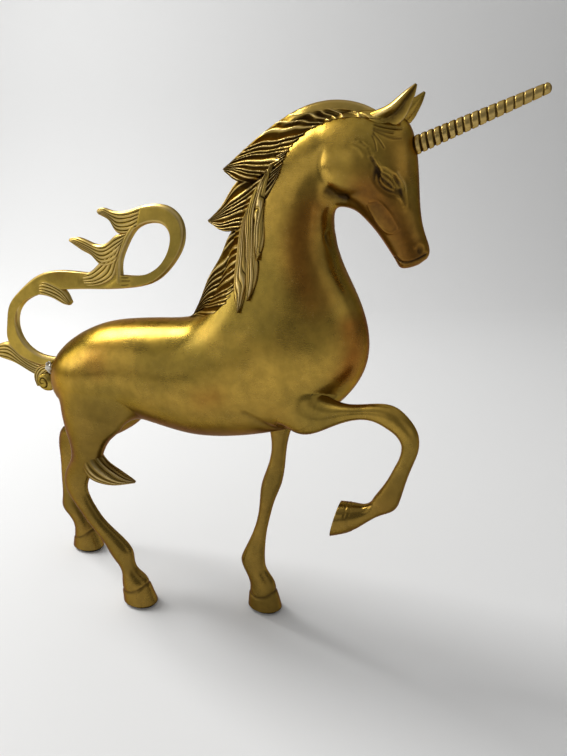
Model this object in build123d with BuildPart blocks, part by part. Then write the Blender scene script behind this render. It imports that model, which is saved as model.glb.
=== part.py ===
"""Cast brass unicorn figurine, standing on three hooves, in millimetres.

X runs towards the head, Y to the figure's left and Z up from the surface that it stands on.
Outlines are drawn in the mid-plane with X counted from the right hind hoof, and then moved by CENTRE_X,
so that the figure stands over its own origin.
"""
import os
from math import cos, hypot, radians, sin

from build123d import *

# Castings
WALL = 3.2
EAR_TRACK = 11.0
JOWL_RADIUS = 14.8
JOWL_CENTRE = (127.8, 270.4)

# Horn
HORN_LENGTH = 58.0
HORN_BASE_DIAMETER = 8.2
HORN_TIP_DIAMETER = 4.2
HORN_TURNS = 18
HORN_RIB = 0.32
HORN_SECTIONS_PER_TURN = 4
HORN_SLOPE = 21.5
HORN_ROOT = (153.5, 276.1)
HORN_SOCKET_DEPTH = 12.0
HORN_STUD_DIAMETER = 3.0
HORN_STUD_LENGTH = 20.0

# Tail
TAIL_THICKNESS = 4.6
TAIL_TIP = (-121.0, 155.5)
TAIL_STUD_DIAMETER = 3.0
TAIL_STUD_LENGTH = 22.0
TAIL_STUD_POINT = (-62.0, 152.0)
SCROLL_CENTRE = (-74.5, 139.8)
SCROLL_RADIUS = 7.2
SCROLL_BEAD_RADIUS = 4.0
SCROLL_BEAD_HEIGHT = 1.0
SCROLL_THICKNESS = 9.0

# Mane
MANE_HALF_WIDTH = 8.5
LOCK_HEIGHT = 2.4
LOCK_REACH = 40.0
LOCK_FIRST = 8
LOCK_LAST = 19

# Legs
FORE_TRACK = 19.0
FORE_STANCE = 8.0
HIND_TRACK = 18.0
LEG_DOWEL_DIAMETER = 5.0
LEG_DOWEL_LENGTH = 30.0
PAD_THICKNESS = 2.0
PAD_INSET = 1.6
FIT = 0.1

HORN_TIP_X = HORN_ROOT[0] + HORN_LENGTH * cos(radians(HORN_SLOPE)) + HORN_TIP_DIAMETER / 2 * sin(radians(HORN_SLOPE))
CENTRE_X = (HORN_TIP_X + TAIL_TIP[0]) / 2

# Torso, neck and head: a point of the back, a point of the belly or front, and half the width between them
TRUNK = [
    ((-61.5, 152.0), (-61.5, 139.0), 6.5),
    ((-57.5, 160.0), (-57.5, 131.0), 13.5),
    ((-50.0, 168.0), (-50.0, 125.0), 19.5),
    ((-38.0, 176.0), (-37.0, 120.5), 24.0),
    ((-21.0, 183.0), (-20.0, 121.5), 26.0),
    ((-3.0, 186.5), (-2.0, 125.4), 26.3),
    ((17.0, 188.6), (20.0, 123.8), 26.3),
    ((34.0, 190.6), (42.0, 121.6), 26.0),
    ((46.0, 195.5), (64.0, 124.2), 25.8),
    ((54.0, 203.5), (85.0, 129.4), 25.6),
    ((60.0, 214.0), (108.0, 138.4), 25.0),
    ((64.5, 225.0), (127.0, 154.0), 23.4),
    ((67.5, 235.0), (137.5, 171.0), 21.2),
    ((71.0, 246.0), (139.0, 189.0), 19.0),
    ((76.5, 258.0), (132.5, 208.0), 17.0),
    ((83.5, 268.0), (124.5, 223.0), 15.2),
    ((92.5, 277.5), (120.0, 237.0), 13.6),
    ((104.0, 285.5), (119.0, 246.5), 12.6),
    ((117.0, 290.0), (121.5, 250.5), 12.4),
    ((130.0, 291.5), (127.0, 250.3), 12.8),
    ((143.0, 290.5), (132.0, 248.0), 13.0),
    ((151.5, 287.0), (135.5, 245.0), 12.8),
    ((155.5, 279.0), (138.8, 241.8), 12.2),
    ((157.5, 269.0), (142.0, 238.2), 11.2),
    ((158.8, 258.5), (145.0, 234.4), 9.6),
    ((160.2, 248.5), (147.8, 230.6), 8.2),
    ((162.4, 240.5), (150.5, 226.8), 7.6),
    ((164.8, 234.5), (153.5, 223.9), 7.2),
    ((165.3, 230.6), (158.0, 224.4), 5.4),
    ((164.4, 228.4), (161.0, 225.7), 3.0),
]

# Cavity: the stations of the trunk that it runs through
CAVITY_FIRST = 1
CAVITY_LAST = 18

# Mane envelope: the same way, from the outer edge of the hair into the neck
MANE_ENVELOPE = [
    ((34.0, 193.0), (66.0, 176.0)),
    ((41.0, 206.0), (80.0, 184.0)),
    ((48.0, 220.0), (88.0, 198.0)),
    ((50.0, 236.0), (92.0, 214.0)),
    ((51.0, 252.0), (95.0, 228.0)),
    ((60.0, 270.0), (98.0, 240.0)),
    ((76.0, 283.0), (102.0, 250.0)),
    ((94.0, 292.5), (108.0, 258.0)),
    ((112.0, 297.5), (116.0, 262.0)),
    ((128.0, 296.8), (126.0, 264.0)),
    ((140.0, 293.5), (134.0, 266.0)),
]

# Outer edge of the mane, in strokes between its tips and notches
MANE_EDGE = [
    [(138.0, 292.0), (128.0, 295.6), (112.0, 296.5), (95.0, 291.2), (78.0, 281.0), (61.0, 268.0)],
    [(61.0, 268.0), (66.5, 265.0), (67.5, 261.5)],
    [(67.5, 261.5), (63.5, 254.5), (57.5, 249.0), (51.0, 243.0)],
    [(51.0, 243.0), (58.0, 239.6), (62.0, 235.5)],
    [(62.0, 235.5), (58.0, 226.0), (50.5, 215.0), (44.5, 202.0), (39.0, 192.0)],
]
MANE_INSIDE = [(39.0, 192.0), (60.0, 180.0), (100.0, 235.0), (128.0, 270.0), (138.0, 292.0)]

# Lock on the right of the neck
LOCK_EDGE = [
    [(91.5, 267.5), (88.5, 255.0), (88.0, 241.0), (88.5, 233.5), (85.0, 225.0), (83.5, 214.0), (78.0, 204.5)],
    [(78.0, 204.5), (76.5, 209.0), (75.5, 206.0), (73.0, 198.5)],
    [(73.0, 198.5), (68.0, 205.0), (70.5, 218.0), (72.5, 232.0), (77.0, 247.0), (83.0, 260.0), (91.5, 267.5)],
]

# Raised leg: an outer point and an inner point of the outline, how far it sits inward of its track, half the thickness
RAISED_LEG = [
    ((90.0, 174.0), (93.0, 142.0), 9.0, 6.0),
    ((103.0, 167.0), (106.5, 137.8), 5.0, 7.6),
    ((118.0, 161.5), (119.5, 141.8), 1.0, 7.4),
    ((130.0, 159.2), (131.5, 148.8), 0.0, 5.2),
    ((142.0, 160.2), (143.0, 152.8), 0.0, 4.2),
    ((151.0, 161.8), (149.5, 152.2), 0.0, 4.4),
    ((158.2, 161.0), (154.6, 150.0), 0.0, 4.8),
    ((165.0, 155.8), (159.0, 147.2), 0.0, 4.8),
    ((169.3, 149.5), (161.3, 144.3), 0.0, 4.5),
    ((170.4, 142.5), (162.2, 141.0), 0.0, 4.0),
    ((169.2, 136.0), (161.6, 135.8), 0.0, 3.5),
    ((167.0, 128.5), (159.5, 130.0), 0.0, 3.4),
    ((165.0, 120.0), (156.4, 122.5), 0.0, 3.7),
    ((163.4, 112.5), (152.6, 115.5), 0.0, 4.5),
    ((160.6, 106.4), (150.0, 111.0), 0.0, 4.7),
    ((154.6, 103.2), (148.6, 108.4), 0.0, 4.2),
    ((150.4, 99.9), (146.2, 106.2), 0.0, 3.8),
    ((141.5, 95.0), (139.4, 102.5), 0.0, 3.2),
]
RAISED_KNEE = 7
RAISED_HOOF = [
    ((148.0, 97.6), (143.9, 106.4), 5.0),
    ((141.4, 90.9), (139.0, 105.6), 7.0),
    ((128.6, 84.6), (132.8, 104.6), 8.0),
]

# Other legs: a rear point, a front point, the distance from the hoof's line, half the thickness
STANDING_LEG = [
    ((76.0, 154.0), (97.0, 152.0), 2.0, 6.0),
    ((77.5, 135.0), (96.0, 135.0), 4.4, 6.6),
    ((80.4, 123.0), (92.0, 123.0), 4.6, 5.2),
    ((81.2, 112.0), (90.2, 112.0), 4.0, 4.4),
    ((78.4, 99.5), (89.2, 99.5), 3.4, 4.6),
    ((75.0, 88.5), (87.0, 88.5), 2.8, 4.8),
    ((74.0, 78.5), (83.4, 78.5), 2.2, 4.2),
    ((73.0, 68.5), (80.6, 67.5), 1.7, 3.5),
    ((70.7, 58.5), (78.5, 57.0), 1.2, 3.4),
    ((67.2, 49.0), (77.4, 47.0), 0.8, 3.8),
    ((62.6, 38.5), (77.0, 37.0), 0.5, 4.8),
    ((61.2, 32.5), (77.6, 30.5), 0.3, 5.2),
    ((64.4, 25.0), (80.4, 25.0), 0.0, 5.4),
    ((67.4, 16.0), (84.0, 19.0), 0.0, 6.2),
    ((68.4, 8.0), (85.0, 11.0), 0.0, 6.6),
]
STANDING_HOOF = [((67.0, 10.6), (85.0, 14.0), 7.2), ((66.2, 0.0), (88.2, 0.0), 8.2)]

NEAR_HIND_LEG = [
    ((-46.0, 152.0), (0.0, 146.0), 3.0, 9.0),
    ((-47.5, 138.0), (1.0, 130.5), 1.4, 9.8),
    ((-46.5, 127.0), (-6.0, 120.5), 0.8, 9.8),
    ((-44.0, 116.0), (-14.5, 112.5), 0.4, 9.0),
    ((-42.0, 107.0), (-19.5, 104.5), 0.0, 7.8),
    ((-43.5, 98.0), (-22.5, 98.0), 0.0, 6.6),
    ((-47.5, 91.0), (-27.5, 92.0), 0.0, 5.6),
    ((-51.5, 82.0), (-32.5, 84.5), 0.0, 5.0),
    ((-51.0, 74.5), (-35.3, 77.0), 0.0, 4.6),
    ((-46.8, 66.5), (-34.2, 70.5), 0.0, 4.2),
    ((-40.6, 57.8), (-31.0, 64.3), 0.0, 3.9),
    ((-34.2, 49.8), (-25.2, 56.4), 0.0, 3.8),
    ((-27.4, 42.6), (-17.6, 50.0), 0.0, 4.0),
    ((-22.4, 35.4), (-9.4, 43.6), 0.0, 4.7),
    ((-18.2, 29.4), (-4.4, 36.4), 0.0, 5.0),
    ((-14.2, 24.6), (-3.8, 28.6), 0.0, 4.5),
    ((-13.0, 20.6), (-2.0, 24.0), 0.0, 4.7),
    ((-13.2, 15.2), (3.6, 19.4), 0.0, 6.0),
    ((-11.6, 6.0), (5.0, 11.5), 0.0, 6.6),
]
NEAR_HIND_HOOF = [((-12.8, 7.4), (5.6, 15.2), 7.2), ((-12.6, 0.0), (10.6, 0.0), 8.4)]

FAR_HIND_LEG = [
    ((-46.0, 152.0), (2.0, 146.0), 3.0, 9.0),
    ((-49.0, 137.5), (-4.0, 131.0), 1.4, 10.0),
    ((-52.5, 127.0), (-13.5, 116.0), 0.8, 10.0),
    ((-59.0, 118.0), (-28.0, 104.5), 0.4, 9.0),
    ((-67.0, 110.0), (-45.0, 95.0), 0.0, 7.6),
    ((-77.0, 102.0), (-60.0, 88.0), 0.0, 6.4),
    ((-85.5, 95.0), (-70.5, 83.0), 0.0, 5.4),
    ((-88.3, 86.0), (-75.0, 79.0), 0.0, 4.8),
    ((-88.8, 76.0), (-77.2, 73.5), 0.0, 4.3),
    ((-89.6, 65.0), (-79.4, 64.5), 0.0, 4.0),
    ((-90.8, 52.0), (-80.8, 52.0), 0.0, 3.8),
    ((-92.2, 40.0), (-80.0, 42.0), 0.0, 4.2),
    ((-92.8, 32.0), (-78.0, 36.0), 0.0, 5.1),
    ((-88.0, 25.6), (-74.8, 31.0), 0.0, 5.1),
    ((-83.4, 16.0), (-69.0, 22.0), 0.0, 6.0),
    ((-82.6, 8.0), (-66.0, 14.0), 0.0, 6.6),
]
FAR_HIND_HOOF = [((-84.4, 8.6), (-67.0, 16.4), 7.2), ((-86.0, 0.0), (-61.8, 0.0), 8.4)]

# Hair tuft on the front of the right hind leg
TUFT = [
    ((-33.0, 103.0), (-33.0, 84.0), 7.0),
    ((-22.0, 101.5), (-24.0, 83.5), 6.8),
    ((-12.0, 96.0), (-14.0, 84.6), 5.2),
    ((-3.0, 92.6), (-4.0, 87.2), 3.4),
    ((2.6, 90.4), (2.4, 88.8), 1.2),
]

# Where each leg's dowel enters the body: a point of the leg's axis, its side and the slope of the dowel
LEG_ROOTS = [
    ((-27.5, 128.0), 0.6 - HIND_TRACK, 96.0),
    ((-31.0, 127.0), HIND_TRACK - 0.6, 60.0),
    ((103.0, 155.5), 3.0 - FORE_TRACK, 165.0),
    ((86.4, 138.0), FORE_STANCE + 4.4, 90.0),
]

# Ear: a rear point, a front point, the distance inward from the tip's line, half the thickness
EAR = [
    ((131.0, 287.5), (139.0, 280.0), 7.4, 2.6),
    ((136.4, 290.4), (144.6, 282.6), 5.4, 3.6),
    ((141.0, 291.5), (150.0, 285.6), 3.6, 4.2),
    ((145.4, 292.9), (152.7, 288.9), 2.3, 3.9),
    ((150.0, 295.9), (154.6, 293.4), 1.0, 2.8),
    ((153.4, 298.6), (156.0, 297.2), 0.3, 1.5),
    ((155.8, 300.0), (156.6, 299.6), 0.0, 0.6),
]

# Tail outline, in strokes between its tips and notches
TAIL_OUTER = [
    [(-58.0, 157.0), (-70.0, 156.0), (-82.0, 159.6), (-91.4, 169.0), (-91.6, 182.0), (-80.0, 193.0),
     (-66.0, 195.5), (-49.5, 191.0)],
    [(-49.5, 191.0), (-48.0, 196.0), (-47.5, 201.0)],
    [(-47.5, 201.0), (-25.0, 202.5), (0.0, 205.0), (15.0, 208.9), (29.9, 220.6), (37.0, 236.0), (30.4, 248.6),
     (17.0, 251.2), (3.0, 248.0), (-9.0, 247.5), (-19.5, 247.0)],
    [(-19.5, 247.0), (-13.0, 242.6), (-8.6, 236.2)],
    [(-8.6, 236.2), (-14.6, 230.6), (-24.0, 229.0), (-41.4, 231.0)],
    [(-41.4, 231.0), (-31.5, 224.0), (-23.2, 217.5)],
    [(-23.2, 217.5), (-31.0, 211.9), (-49.0, 212.5), (-69.0, 208.5), (-84.6, 198.6), (-96.8, 187.0),
     (-101.2, 170.0), (-102.5, 161.5)],
    [(-102.5, 161.5), (-112.0, 160.0), TAIL_TIP],
    [TAIL_TIP, (-111.5, 150.0), (-97.0, 147.6), (-83.0, 145.0)],
    [(-83.0, 145.0), (-76.0, 144.0), (-66.0, 146.5), (-56.0, 148.0)],
]
TAIL_LOOP = [(-9.4, 212.4), (6.0, 211.8), (18.6, 217.4), (26.6, 228.0), (27.2, 239.6), (17.0, 241.4), (5.2, 237.6),
             (-4.8, 229.0)]


def section_plane(back, front, side):
    """Plane through a back point and a front point of an outline, square to the mid-plane."""
    along = Vector(back[0] - front[0], 0, back[1] - front[1])
    middle = Vector((back[0] + front[0]) / 2 - CENTRE_X, side, (back[1] + front[1]) / 2)
    return Plane(origin=middle, x_dir=along, z_dir=Vector(-along.Z, 0, along.X))


def half_depth(back, front):
    """Half the distance between the two outline points."""
    return hypot(back[0] - front[0], back[1] - front[1]) / 2


def outline(points):
    """Outline points moved over the figure's origin."""
    return [(x - CENTRE_X, z) for x, z in points]


def axis_plane(point, side, slope):
    """Plane at an outline point, square to an axis that rises by the slope from the head's direction."""
    rise = Vector(cos(radians(slope)), 0, sin(radians(slope)))
    return Plane(origin=(point[0] - CENTRE_X, side, point[1]), x_dir=(0, 1, 0), z_dir=rise)


def seated(point):
    """A leg's outline point, lifted so that the sole stands on its pad."""
    return (point[0], max(point[1], PAD_THICKNESS))


def sole_half_length(hoof):
    """Half the length of a hoof's sole."""
    rear, front, half_width = hoof[-1]
    return half_depth(rear, front)


def hoof_centre(hoof, side):
    """Middle of a hoof's sole on the floor."""
    rear, front, half_width = hoof[-1]
    return ((rear[0] + front[0]) / 2 - CENTRE_X, side)


# Solid form of the torso, neck and head
with BuildPart() as trunk:
    for back, front, half_width in TRUNK:
        with BuildSketch(section_plane(back, front, 0)):
            Ellipse(half_depth(back, front), half_width)
    loft()

# Room inside the castings
with BuildPart() as cavity:
    for back, front, half_width in TRUNK[CAVITY_FIRST:CAVITY_LAST]:
        with BuildSketch(section_plane(back, front, 0)):
            Ellipse(half_depth(back, front) - WALL, half_width - WALL)
    loft()

# Dowels between the legs and the body, and their holes
with BuildPart() as leg_dowels:
    for point, side, slope in LEG_ROOTS:
        with BuildSketch(axis_plane(point, side, slope)):
            Circle(LEG_DOWEL_DIAMETER / 2)
    extrude(amount=LEG_DOWEL_LENGTH / 2, both=True)

with BuildPart() as leg_dowel_holes:
    for point, side, slope in LEG_ROOTS:
        with BuildSketch(axis_plane(point, side, slope)):
            Circle(LEG_DOWEL_DIAMETER / 2 + FIT)
    extrude(amount=LEG_DOWEL_LENGTH / 2 + FIT, both=True)

# Studs of the horn and the tail, and their holes
with BuildPart() as horn_stud:
    with BuildSketch(axis_plane(HORN_ROOT, 0, HORN_SLOPE)):
        Circle(HORN_STUD_DIAMETER / 2)
    extrude(amount=HORN_STUD_LENGTH / 2, both=True)

with BuildPart() as horn_stud_hole:
    with BuildSketch(axis_plane(HORN_ROOT, 0, HORN_SLOPE)):
        Circle(HORN_STUD_DIAMETER / 2 + FIT)
    extrude(amount=HORN_STUD_LENGTH / 2 + FIT, both=True)

with BuildPart() as tail_stud:
    with BuildSketch(axis_plane(TAIL_STUD_POINT, 0, 0)):
        Circle(TAIL_STUD_DIAMETER / 2)
    extrude(amount=TAIL_STUD_LENGTH / 2, both=True)

with BuildPart() as tail_stud_hole:
    with BuildSketch(axis_plane(TAIL_STUD_POINT, 0, 0)):
        Circle(TAIL_STUD_DIAMETER / 2 + FIT)
    extrude(amount=TAIL_STUD_LENGTH / 2 + FIT, both=True)

# Ears
with BuildPart() as ears:
    for rear, front, inward, half_width in EAR:
        with BuildSketch(section_plane(rear, front, inward - EAR_TRACK)):
            Ellipse(half_depth(rear, front), half_width)
    loft()
    mirror(about=Plane.XZ)

# Horn: each section is a circle a little off the axis, and its offset turns to wind the ribs
with BuildPart() as horn:
    steps = HORN_TURNS * HORN_SECTIONS_PER_TURN
    for step in range(steps + 1):
        share = step / steps
        turn = radians(360 / HORN_SECTIONS_PER_TURN * step)
        radius = (HORN_BASE_DIAMETER + (HORN_TIP_DIAMETER - HORN_BASE_DIAMETER) * share) / 2 - HORN_RIB
        with BuildSketch(axis_plane(HORN_ROOT, 0, HORN_SLOPE).offset(HORN_LENGTH * share)):
            with Locations((HORN_RIB * cos(turn), HORN_RIB * sin(turn))):
                Circle(radius)
    loft(ruled=True)
    add(horn_stud_hole.part, mode=Mode.SUBTRACT)

# Both castings as one form, with ears, round jaws and the room inside
with BuildPart() as body:
    add(trunk.part)
    with Locations((JOWL_CENTRE[0] - CENTRE_X, 0, JOWL_CENTRE[1])):
        Sphere(JOWL_RADIUS)
    add(ears.part)
    add(cavity.part, mode=Mode.SUBTRACT)
    add(leg_dowel_holes.part, mode=Mode.SUBTRACT)
    add(horn_stud_hole.part, mode=Mode.SUBTRACT)
    add(tail_stud_hole.part, mode=Mode.SUBTRACT)
    with BuildSketch(axis_plane(HORN_ROOT, 0, HORN_SLOPE)):
        Circle(HORN_BASE_DIAMETER / 2 + FIT)
    extrude(amount=HORN_SOCKET_DEPTH, mode=Mode.SUBTRACT)

with BuildPart() as body_right_shell:
    add(body.part)
    split(bisect_by=Plane.XZ, keep=Keep.TOP)

with BuildPart() as body_left_shell:
    add(body.part)
    split(bisect_by=Plane.XZ, keep=Keep.BOTTOM)

# Crest of the mane: a serrated plate that thins towards its edge and sits on the neck
with BuildPart() as mane_form:
    for back, front in MANE_ENVELOPE:
        with BuildSketch(section_plane(back, front, 0)):
            Ellipse(half_depth(back, front), MANE_HALF_WIDTH)
    loft()

with BuildPart() as mane_crest:
    with BuildSketch(Plane.XZ):
        with BuildLine():
            for stroke in MANE_EDGE:
                Spline(*outline(stroke))
            Polyline(*outline(MANE_INSIDE))
        make_face()
    extrude(amount=2 * MANE_HALF_WIDTH, both=True)
    add(mane_form.part, mode=Mode.INTERSECT)
    add(body.part, mode=Mode.SUBTRACT)
    add(trunk.part, mode=Mode.SUBTRACT)

# Lock of hair that follows the right side of the neck
with BuildPart() as lock_form:
    for back, front, half_width in TRUNK[LOCK_FIRST:LOCK_LAST]:
        with BuildSketch(section_plane(back, front, 0)):
            Ellipse(half_depth(back, front) + LOCK_HEIGHT, half_width + LOCK_HEIGHT)
    loft()

with BuildPart() as mane_lock:
    with BuildSketch(Plane.XZ):
        with BuildLine():
            for stroke in LOCK_EDGE:
                Spline(*outline(stroke))
        make_face()
    extrude(amount=LOCK_REACH)
    add(lock_form.part, mode=Mode.INTERSECT)
    add(trunk.part, mode=Mode.SUBTRACT)
    add(mane_crest.part, mode=Mode.SUBTRACT)

# Legs
with BuildPart() as right_foreleg:
    for outer, inner, inward, half_width in RAISED_LEG[:RAISED_KNEE + 1]:
        with BuildSketch(section_plane(outer, inner, inward - FORE_TRACK)):
            Ellipse(half_depth(outer, inner), half_width)
    loft()
    add(trunk.part, mode=Mode.SUBTRACT)
    add(leg_dowel_holes.part, mode=Mode.SUBTRACT)
    for outer, inner, inward, half_width in RAISED_LEG[RAISED_KNEE:]:
        with BuildSketch(section_plane(outer, inner, inward - FORE_TRACK)):
            Ellipse(half_depth(outer, inner), half_width)
    loft()
    for outer, inner, half_width in RAISED_HOOF:
        with BuildSketch(section_plane(outer, inner, -FORE_TRACK)):
            Ellipse(half_depth(outer, inner), half_width)
    loft(ruled=True)

with BuildPart() as left_foreleg:
    for rear, front, outward, half_width in STANDING_LEG:
        with BuildSketch(section_plane(rear, front, FORE_STANCE + outward)):
            Ellipse(half_depth(rear, front), half_width)
    loft()
    for rear, front, half_width in STANDING_HOOF:
        with BuildSketch(section_plane(seated(rear), seated(front), FORE_STANCE)):
            Ellipse(half_depth(rear, front), half_width)
    loft()
    add(trunk.part, mode=Mode.SUBTRACT)
    add(leg_dowel_holes.part, mode=Mode.SUBTRACT)

with BuildPart() as right_hind_leg:
    for rear, front, inward, half_width in NEAR_HIND_LEG:
        with BuildSketch(section_plane(rear, front, inward - HIND_TRACK)):
            Ellipse(half_depth(rear, front), half_width)
    loft()
    for rear, front, half_width in NEAR_HIND_HOOF:
        with BuildSketch(section_plane(seated(rear), seated(front), -HIND_TRACK)):
            Ellipse(half_depth(rear, front), half_width)
    loft()
    for upper, lower, half_width in TUFT:
        with BuildSketch(section_plane(upper, lower, -HIND_TRACK)):
            Ellipse(half_depth(upper, lower), half_width)
    loft()
    add(trunk.part, mode=Mode.SUBTRACT)
    add(leg_dowel_holes.part, mode=Mode.SUBTRACT)

with BuildPart() as left_hind_leg:
    for rear, front, inward, half_width in FAR_HIND_LEG:
        with BuildSketch(section_plane(rear, front, HIND_TRACK - inward)):
            Ellipse(half_depth(rear, front), half_width)
    loft()
    for rear, front, half_width in FAR_HIND_HOOF:
        with BuildSketch(section_plane(seated(rear), seated(front), HIND_TRACK)):
            Ellipse(half_depth(rear, front), half_width)
    loft()
    add(trunk.part, mode=Mode.SUBTRACT)
    add(leg_dowel_holes.part, mode=Mode.SUBTRACT)

# Tail: a flat plate with leaf tips, its loop open, and a round scroll under the root
with BuildPart() as tail:
    with BuildSketch(Plane.XZ):
        with BuildLine():
            for stroke in TAIL_OUTER:
                Spline(*outline(stroke))
            Line(outline(TAIL_OUTER[-1])[-1], outline(TAIL_OUTER[0])[0])
        make_face()
        with BuildLine():
            Spline(*outline(TAIL_LOOP), periodic=True)
        make_face(mode=Mode.SUBTRACT)
    extrude(amount=TAIL_THICKNESS / 2, both=True)
    with BuildSketch(Plane.XZ):
        with Locations(outline([SCROLL_CENTRE])[0]):
            Circle(SCROLL_RADIUS)
    extrude(amount=SCROLL_THICKNESS / 2, both=True)
    with BuildSketch(Plane.XZ):
        with Locations(outline([SCROLL_CENTRE])[0]):
            Circle(SCROLL_BEAD_RADIUS)
    extrude(amount=SCROLL_THICKNESS / 2 + SCROLL_BEAD_HEIGHT, both=True)
    add(trunk.part, mode=Mode.SUBTRACT)
    add(tail_stud_hole.part, mode=Mode.SUBTRACT)

# Pads under the standing hooves
with BuildPart() as right_hind_pad:
    with BuildSketch():
        with Locations(hoof_centre(NEAR_HIND_HOOF, -HIND_TRACK)):
            Ellipse(sole_half_length(NEAR_HIND_HOOF) - PAD_INSET, NEAR_HIND_HOOF[-1][2] - PAD_INSET)
    extrude(amount=PAD_THICKNESS)

with BuildPart() as left_hind_pad:
    with BuildSketch():
        with Locations(hoof_centre(FAR_HIND_HOOF, HIND_TRACK)):
            Ellipse(sole_half_length(FAR_HIND_HOOF) - PAD_INSET, FAR_HIND_HOOF[-1][2] - PAD_INSET)
    extrude(amount=PAD_THICKNESS)

with BuildPart() as left_fore_pad:
    with BuildSketch():
        with Locations(hoof_centre(STANDING_HOOF, FORE_STANCE)):
            Ellipse(sole_half_length(STANDING_HOOF) - PAD_INSET, STANDING_HOOF[-1][2] - PAD_INSET)
    extrude(amount=PAD_THICKNESS)

os.makedirs("parts", exist_ok=True)
pieces = {
    "body_right_shell": body_right_shell.part,
    "body_left_shell": body_left_shell.part,
    "mane_crest": mane_crest.part,
    "mane_lock": mane_lock.part,
    "horn": horn.part,
    "horn_stud": horn_stud.part,
    "tail": tail.part,
    "tail_stud": tail_stud.part,
    "right_foreleg": right_foreleg.part,
    "left_foreleg": left_foreleg.part,
    "right_hind_leg": right_hind_leg.part,
    "left_hind_leg": left_hind_leg.part,
    "leg_dowels": leg_dowels.part,
    "right_hind_pad": right_hind_pad.part,
    "left_hind_pad": left_hind_pad.part,
    "left_fore_pad": left_fore_pad.part,
}
for name, piece in pieces.items():
    piece.label = name
    export_step(piece, "parts/" + name + ".step")
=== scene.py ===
"""Aged brass unicorn figurine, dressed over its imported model. Outlines are in millimetres, X counted from the
right hind hoof, Y to the figure's left, Z up; place() moves them over the figure's origin and into metres."""
import math

import bpy
import numpy as np
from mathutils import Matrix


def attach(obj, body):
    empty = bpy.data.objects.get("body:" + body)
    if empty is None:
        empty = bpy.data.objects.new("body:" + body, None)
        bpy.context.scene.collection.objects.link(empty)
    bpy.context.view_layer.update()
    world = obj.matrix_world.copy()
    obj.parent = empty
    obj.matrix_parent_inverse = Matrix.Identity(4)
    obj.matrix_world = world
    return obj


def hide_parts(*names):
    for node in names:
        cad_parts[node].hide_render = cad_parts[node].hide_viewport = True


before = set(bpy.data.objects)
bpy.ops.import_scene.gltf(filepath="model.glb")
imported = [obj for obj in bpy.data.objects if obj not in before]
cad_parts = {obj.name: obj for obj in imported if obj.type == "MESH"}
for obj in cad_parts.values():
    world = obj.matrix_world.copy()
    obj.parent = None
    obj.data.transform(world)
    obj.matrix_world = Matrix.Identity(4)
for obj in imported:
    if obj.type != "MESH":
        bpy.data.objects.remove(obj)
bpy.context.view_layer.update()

MILLIMETRE = 0.001
# Thickness of the hoof pads and of the casting, and how far each hoof is from the mid-plane
PAD, WALL = 2.0, 3.2
HIND_TRACK, FORE_TRACK, FORE_STANCE = 18.0, 19.0, 8.0
TAIL_TIP_X = -121.0
HORN_ROOT, HORN_LENGTH, HORN_SLOPE = (153.5, 276.1), 58.0, math.radians(21.5)
HORN_BASE_RADIUS, HORN_TIP_RADIUS, HORN_TURNS = 4.1, 2.1, 17.5
HORN_TIP_X = HORN_ROOT[0] + HORN_LENGTH * math.cos(HORN_SLOPE) + HORN_TIP_RADIUS * math.sin(HORN_SLOPE)
CENTRE_X = (HORN_TIP_X + TAIL_TIP_X) / 2

# Points along curves and strokes, columns of body and legs, and the millimetre cells of the side view
CURVE_STEPS, STROKE_POINTS = 400, 18
HALF_COLUMNS, INNER_COLUMNS = 150, 13
LIMB_COLUMNS, LIMB_SPACING, FILLET_ROWS = 84, 0.7, 18
CELLS, CELL_CORNER = (240, 190), (-70, 115)
# How far the mane stands over the neck, and how deep the furrows of mane and lock are
MANE_LIFT, MANE_DEPTH, LOCK_DEPTH, LOCK_ROWS = 1.2, 1.3, 0.9, 190


def place(points):
    """Outline millimetres to metres over the figure's origin: X less the centre, then all by a thousandth."""
    return (np.asarray(points, float) - (CENTRE_X, 0.0, 0.0)) * MILLIMETRE


def smoothstep(low, high, value):
    """0 below low, 1 above high, and 3t^2 - 2t^3 between."""
    t = np.clip((value - low) / (high - low), 0.0, 1.0)
    return t * t * (3.0 - 2.0 * t)


def bell(value, width):
    """Gaussian hump of height 1 and the given width."""
    return np.exp(-(value / width) ** 2)


def full_turn(count):
    """Angles of one turn in even steps."""
    return np.linspace(0, 2 * np.pi, count, endpoint=False)


def unit(vectors):
    """Vectors divided by their lengths."""
    return vectors / np.maximum(np.linalg.norm(vectors, axis=-1, keepdims=True), 1e-9)


def spline(rows, knots, at):
    """Natural cubic spline through the rows at their knots, read at the given parameters."""
    rows, knots, at = np.asarray(rows, float), np.asarray(knots, float), np.asarray(at, float)
    n, step = len(rows), np.diff(knots)
    slope = np.diff(rows, axis=0) / step[:, None]
    system, right = np.eye(n), np.zeros_like(rows)
    i = np.arange(1, n - 1)
    system[i, i - 1], system[i, i], system[i, i + 1] = step[:-1], 2 * (step[:-1] + step[1:]), step[1:]
    right[1:-1] = 6 * np.diff(slope, axis=0)
    bend = np.linalg.solve(system, right)
    k = np.clip(np.searchsorted(knots, at, side="right") - 1, 0, n - 2)
    t, h = (at - knots[k])[:, None], step[k][:, None]
    first = slope[k] - h * (2 * bend[k] + bend[k + 1]) / 6
    return rows[k] + t * (first + t * (bend[k] / 2 + t * (bend[k + 1] - bend[k]) / (6 * h)))


def run_length(points):
    """Length of a path up to each of its points."""
    return np.r_[0.0, np.cumsum(np.linalg.norm(np.diff(points, axis=0), axis=1))]


def curve(points, count):
    """Points evenly spaced in length along the spline through an outline."""
    points = np.asarray(points, float)
    knots = run_length(points)
    at = np.linspace(0, knots[-1], CURVE_STEPS)
    run = run_length(spline(points, knots, at))
    return spline(points, knots, np.interp(np.linspace(0, run[-1], count), run, at))


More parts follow.
